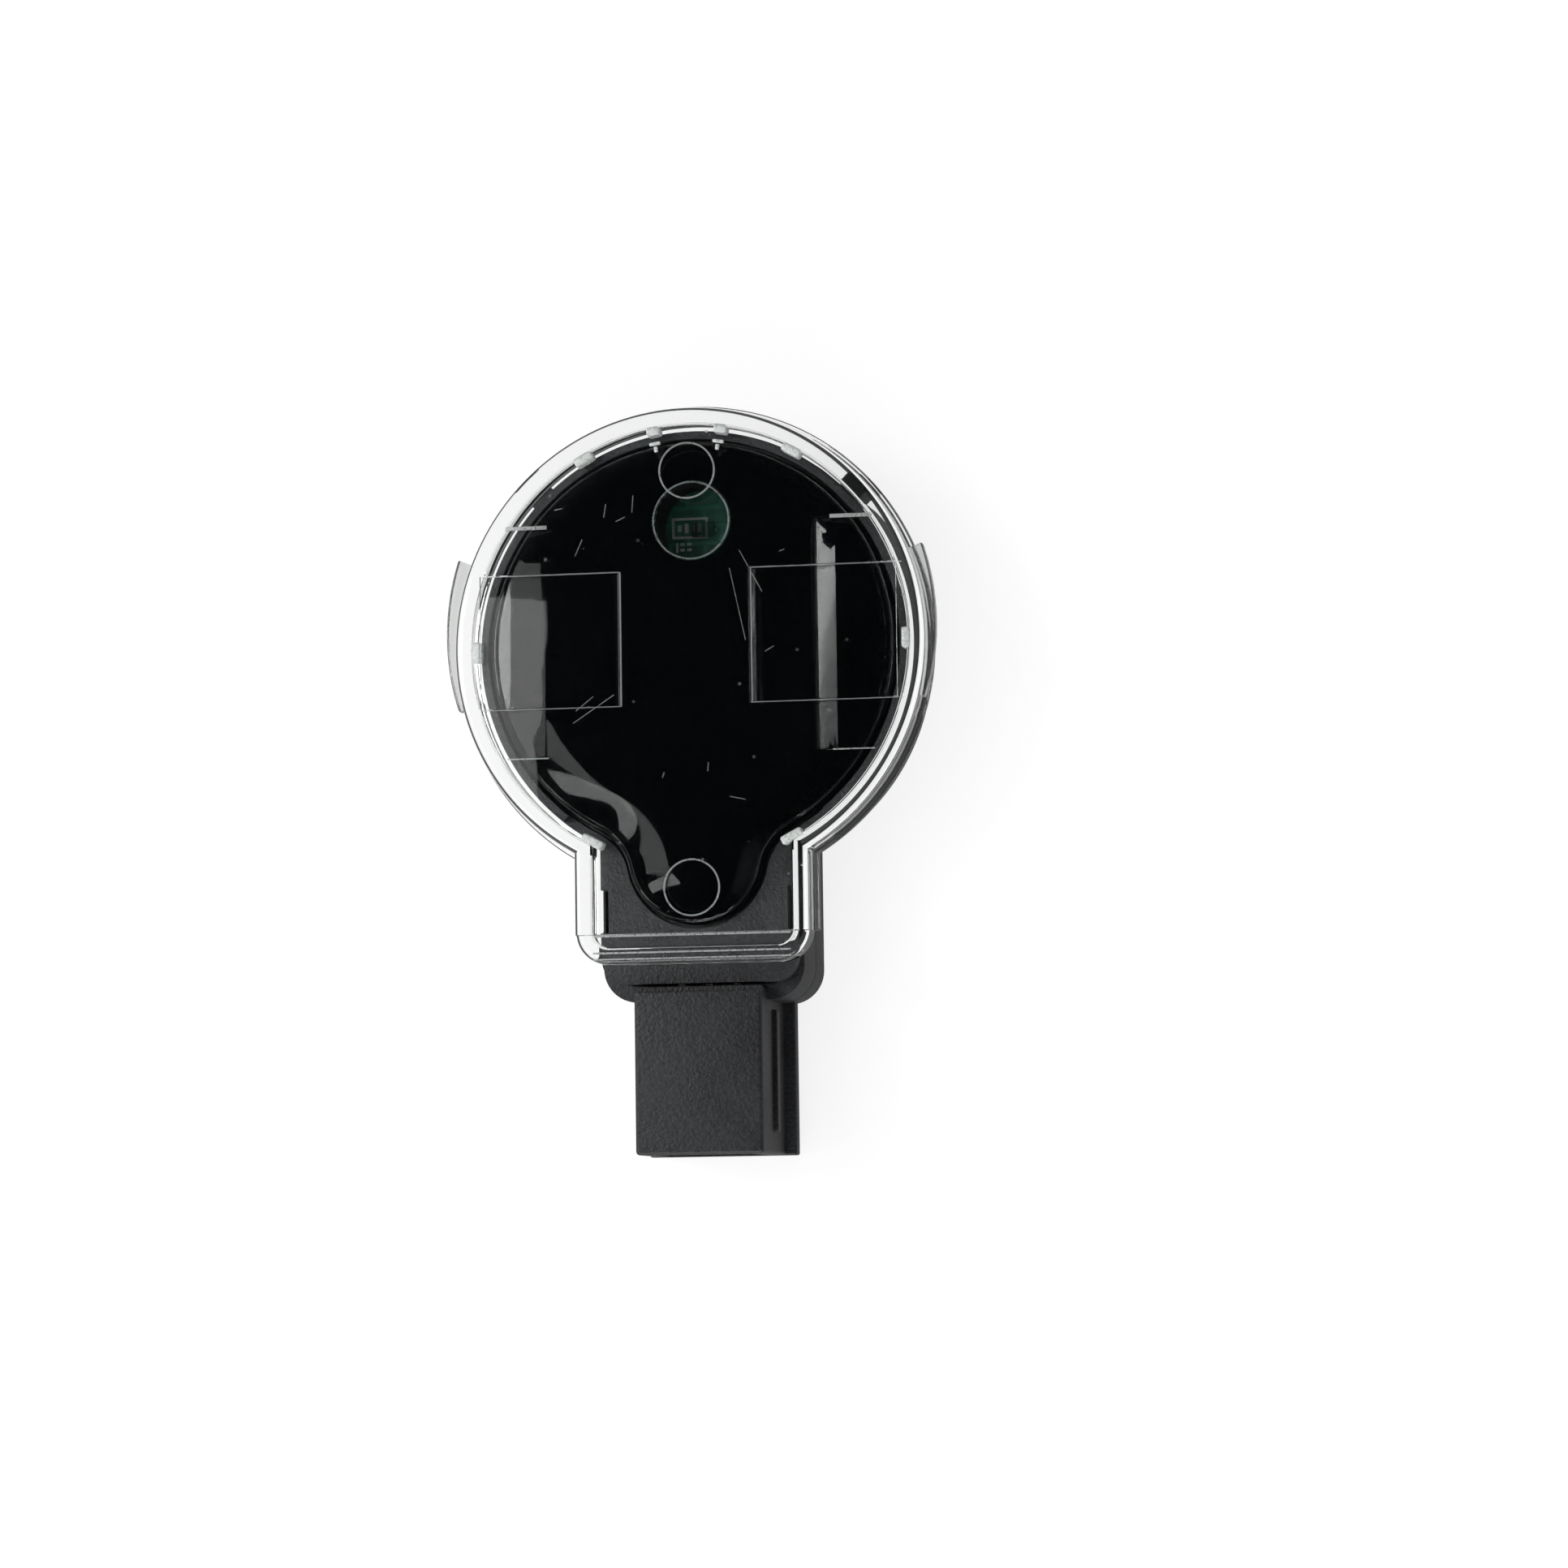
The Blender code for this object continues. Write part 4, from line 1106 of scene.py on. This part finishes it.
# --- Finish of the CAD pieces ---------------------------------------------------------------
def finish_cad_nodes():
    tin = moulded("pin_tin", (0.60, 0.59, 0.56), 0.28, 2500, 0.006 * MM, 1.0, 0.06)
    chip = moulded("chip_epoxy", (0.013, 0.013, 0.014), 0.55, 6500, 0.012 * MM)
    shiny_chip = moulded("detector_epoxy", (0.010, 0.008, 0.010), 0.15, 4000, 0.002 * MM)
    baffle = moulded("baffle_black", (0.010, 0.010, 0.011), 0.62, 5200, 0.02 * MM)
    ceramic = moulded("ceramic_tan", (0.36, 0.24, 0.14), 0.45, 7000, 0.008 * MM)
    film = moulded("resistor_film", (0.020, 0.020, 0.024), 0.35, 5000, 0.006 * MM)
    carrier = moulded("carrier_black", (0.016, 0.016, 0.017), 0.5, 5000, 0.015 * MM)
    led = clear("led_clear", (0.90, 0.92, 0.95), 0.06, 1.53, 0.001 * MM)
    by_name = (
        ("lens_plate", GLOSS_BLACK),
        ("ambient_window", WINDOW_CLEAR),
        ("emitter_lens", LENS_CLEAR),
        ("receiver_lens", LENS_CLEAR),
        ("circuit_board", BOARD_GREEN),
        ("light_baffle", baffle),
        ("infrared_led", led),
        ("photodiode", shiny_chip),
        ("ambient_light_sensor", led),
        ("microcontroller", chip),
        ("bus_transceiver", chip),
        ("voltage_regulator", chip),
        ("reverse_polarity_diode", chip),
        ("resonator", tin),
        ("capacitor", ceramic),
        ("supply_capacitor", ceramic),
        ("resistor", film),
        ("contact_pin", tin),
        ("pin_carrier", carrier),
    )
    for name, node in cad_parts.items():
        if node.hide_render:
            continue
        match = [material for start, material in by_name if name.startswith(start)]
        if not match:
            print("no finish for", name)
            continue
        for slot in node.material_slots:
            slot.material = match[0]


# --- Stage ----------------------------------------------------------------------------------
def direction(azimuth, elevation):
    a, e = radians(azimuth), radians(elevation)
    return Vector((cos(e) * cos(a), cos(e) * sin(a), sin(e)))


def facing(position, target, up):
    """A matrix at position whose -Z looks at target."""
    back = (position - target).normalized()
    right = up.cross(back).normalized()
    lift = back.cross(right)
    turn = Matrix((right, lift, back)).transposed()
    return Matrix.Translation(position) @ turn.to_4x4()


def add_camera():
    data = bpy.data.cameras.new("camera")
    data.sensor_width = SENSOR_WIDTH
    data.lens = SENSOR_WIDTH * CAMERA_DISTANCE / FRAME_WIDTH
    data.clip_start = 0.01
    camera = new_object("camera", data)
    position = CAMERA_AIM + CAMERA_LEAN.normalized() * CAMERA_DISTANCE
    roll = Matrix.Rotation(-CAMERA_ROLL, 4, "Z")
    camera.matrix_world = facing(position, CAMERA_AIM, Vector((0, 1, 0))) @ roll
    bpy.context.scene.camera = camera


def softbox(name, azimuths, elevations, radiance):
    """A rectangular lamp that fills a range of azimuth and elevation, seen from the sensor."""
    azimuth, elevation = sum(azimuths) / 2, sum(elevations) / 2
    half_turn = radians(azimuths[1] - azimuths[0]) / 2 * cos(radians(elevation))
    half_lift = radians(elevations[1] - elevations[0]) / 2
    data = bpy.data.lights.new(name, "AREA")
    data.shape = "RECTANGLE"
    data.size = 2 * LAMP_DISTANCE * tan(half_turn)
    data.size_y = 2 * LAMP_DISTANCE * tan(half_lift)
    data.energy = radiance * pi * data.size * data.size_y
    lamp = new_object(name, data)
    lamp.visible_camera = False
    target = Vector((0, 0, CAP_TOP))
    place = target + direction(azimuth, elevation) * LAMP_DISTANCE
    lamp.matrix_world = facing(place, target, Vector((0, 0, 1)))


def add_lamps():
    softbox("left_softbox", (160, 196), (52.5, 70.5), 2.1)
    softbox("lower_left_softbox", (198, 209), (50.0, 70.5), 4.6)
    softbox("left_strip", (158, 180), (43.0, 52.3), 15.0)
    softbox("front_softbox", (240, 300), (12.0, 36.0), 3.5)


def add_world():
    """White to the camera, an even dome for diffuse light, and a dark ceiling for reflections."""
    world = bpy.data.worlds.new("studio")
    bpy.context.scene.world = world
    world.use_nodes = True
    nodes = Nodes(world.node_tree)
    way = nodes.add("ShaderNodeTexCoord").outputs["Generated"]
    split = nodes.add("ShaderNodeSeparateXYZ", {0: way})
    low = nodes.span(split.outputs["Z"], 1.0, 0.0, 0.10, 0.70)
    left = nodes.span(split.outputs["X"], 1.0, 0.35, -0.8, 0.8)
    walls = nodes.math("ADD", nodes.math("MULTIPLY", nodes.math("MULTIPLY", low, left), 0.9), 0.004)
    path = nodes.add("ShaderNodeLightPath")
    scattered = nodes.math("MINIMUM", path.outputs["Diffuse Depth"], 1.0)
    kept = nodes.math("SUBTRACT", 1.0, scattered)
    dome = nodes.math("MULTIPLY", nodes.span(split.outputs["X"], 1.4, 0.1, -1.0, 1.0), AMBIENT)
    lit = nodes.math(
        "ADD", nodes.math("MULTIPLY", walls, kept), nodes.math("MULTIPLY", scattered, dome)
    )
    strength = nodes.math("MAXIMUM", lit, path.outputs["Is Camera Ray"])
    background = nodes.add("ShaderNodeBackground", {"Color": (1, 1, 1, 1), "Strength": strength})
    nodes.add("ShaderNodeOutputWorld", {"Surface": background.outputs[0]})


def add_floor():
    half = 2.0
    floor = from_faces(
        "floor", [(x, y, 0) for x, y in rectangle(-half, -half, half, half)], [(0, 1, 2, 3)]
    )
    floor.data.materials.append(floor_finish())


def main():
    bpy.context.scene.view_settings.view_transform = "Standard"
    add_camera()
    add_world()
    add_lamps()
    add_floor()
    protective_cap()
    finger_grips()
    cap_nubs()
    cap_ribs_and_highlights()
    cap_scratches_and_painted_reflections()
    cap_marks()
    window_rim()
    optical_pad()
    front_cover()
    rear_housing()
    board_print()
    finish_cad_nodes()


main()
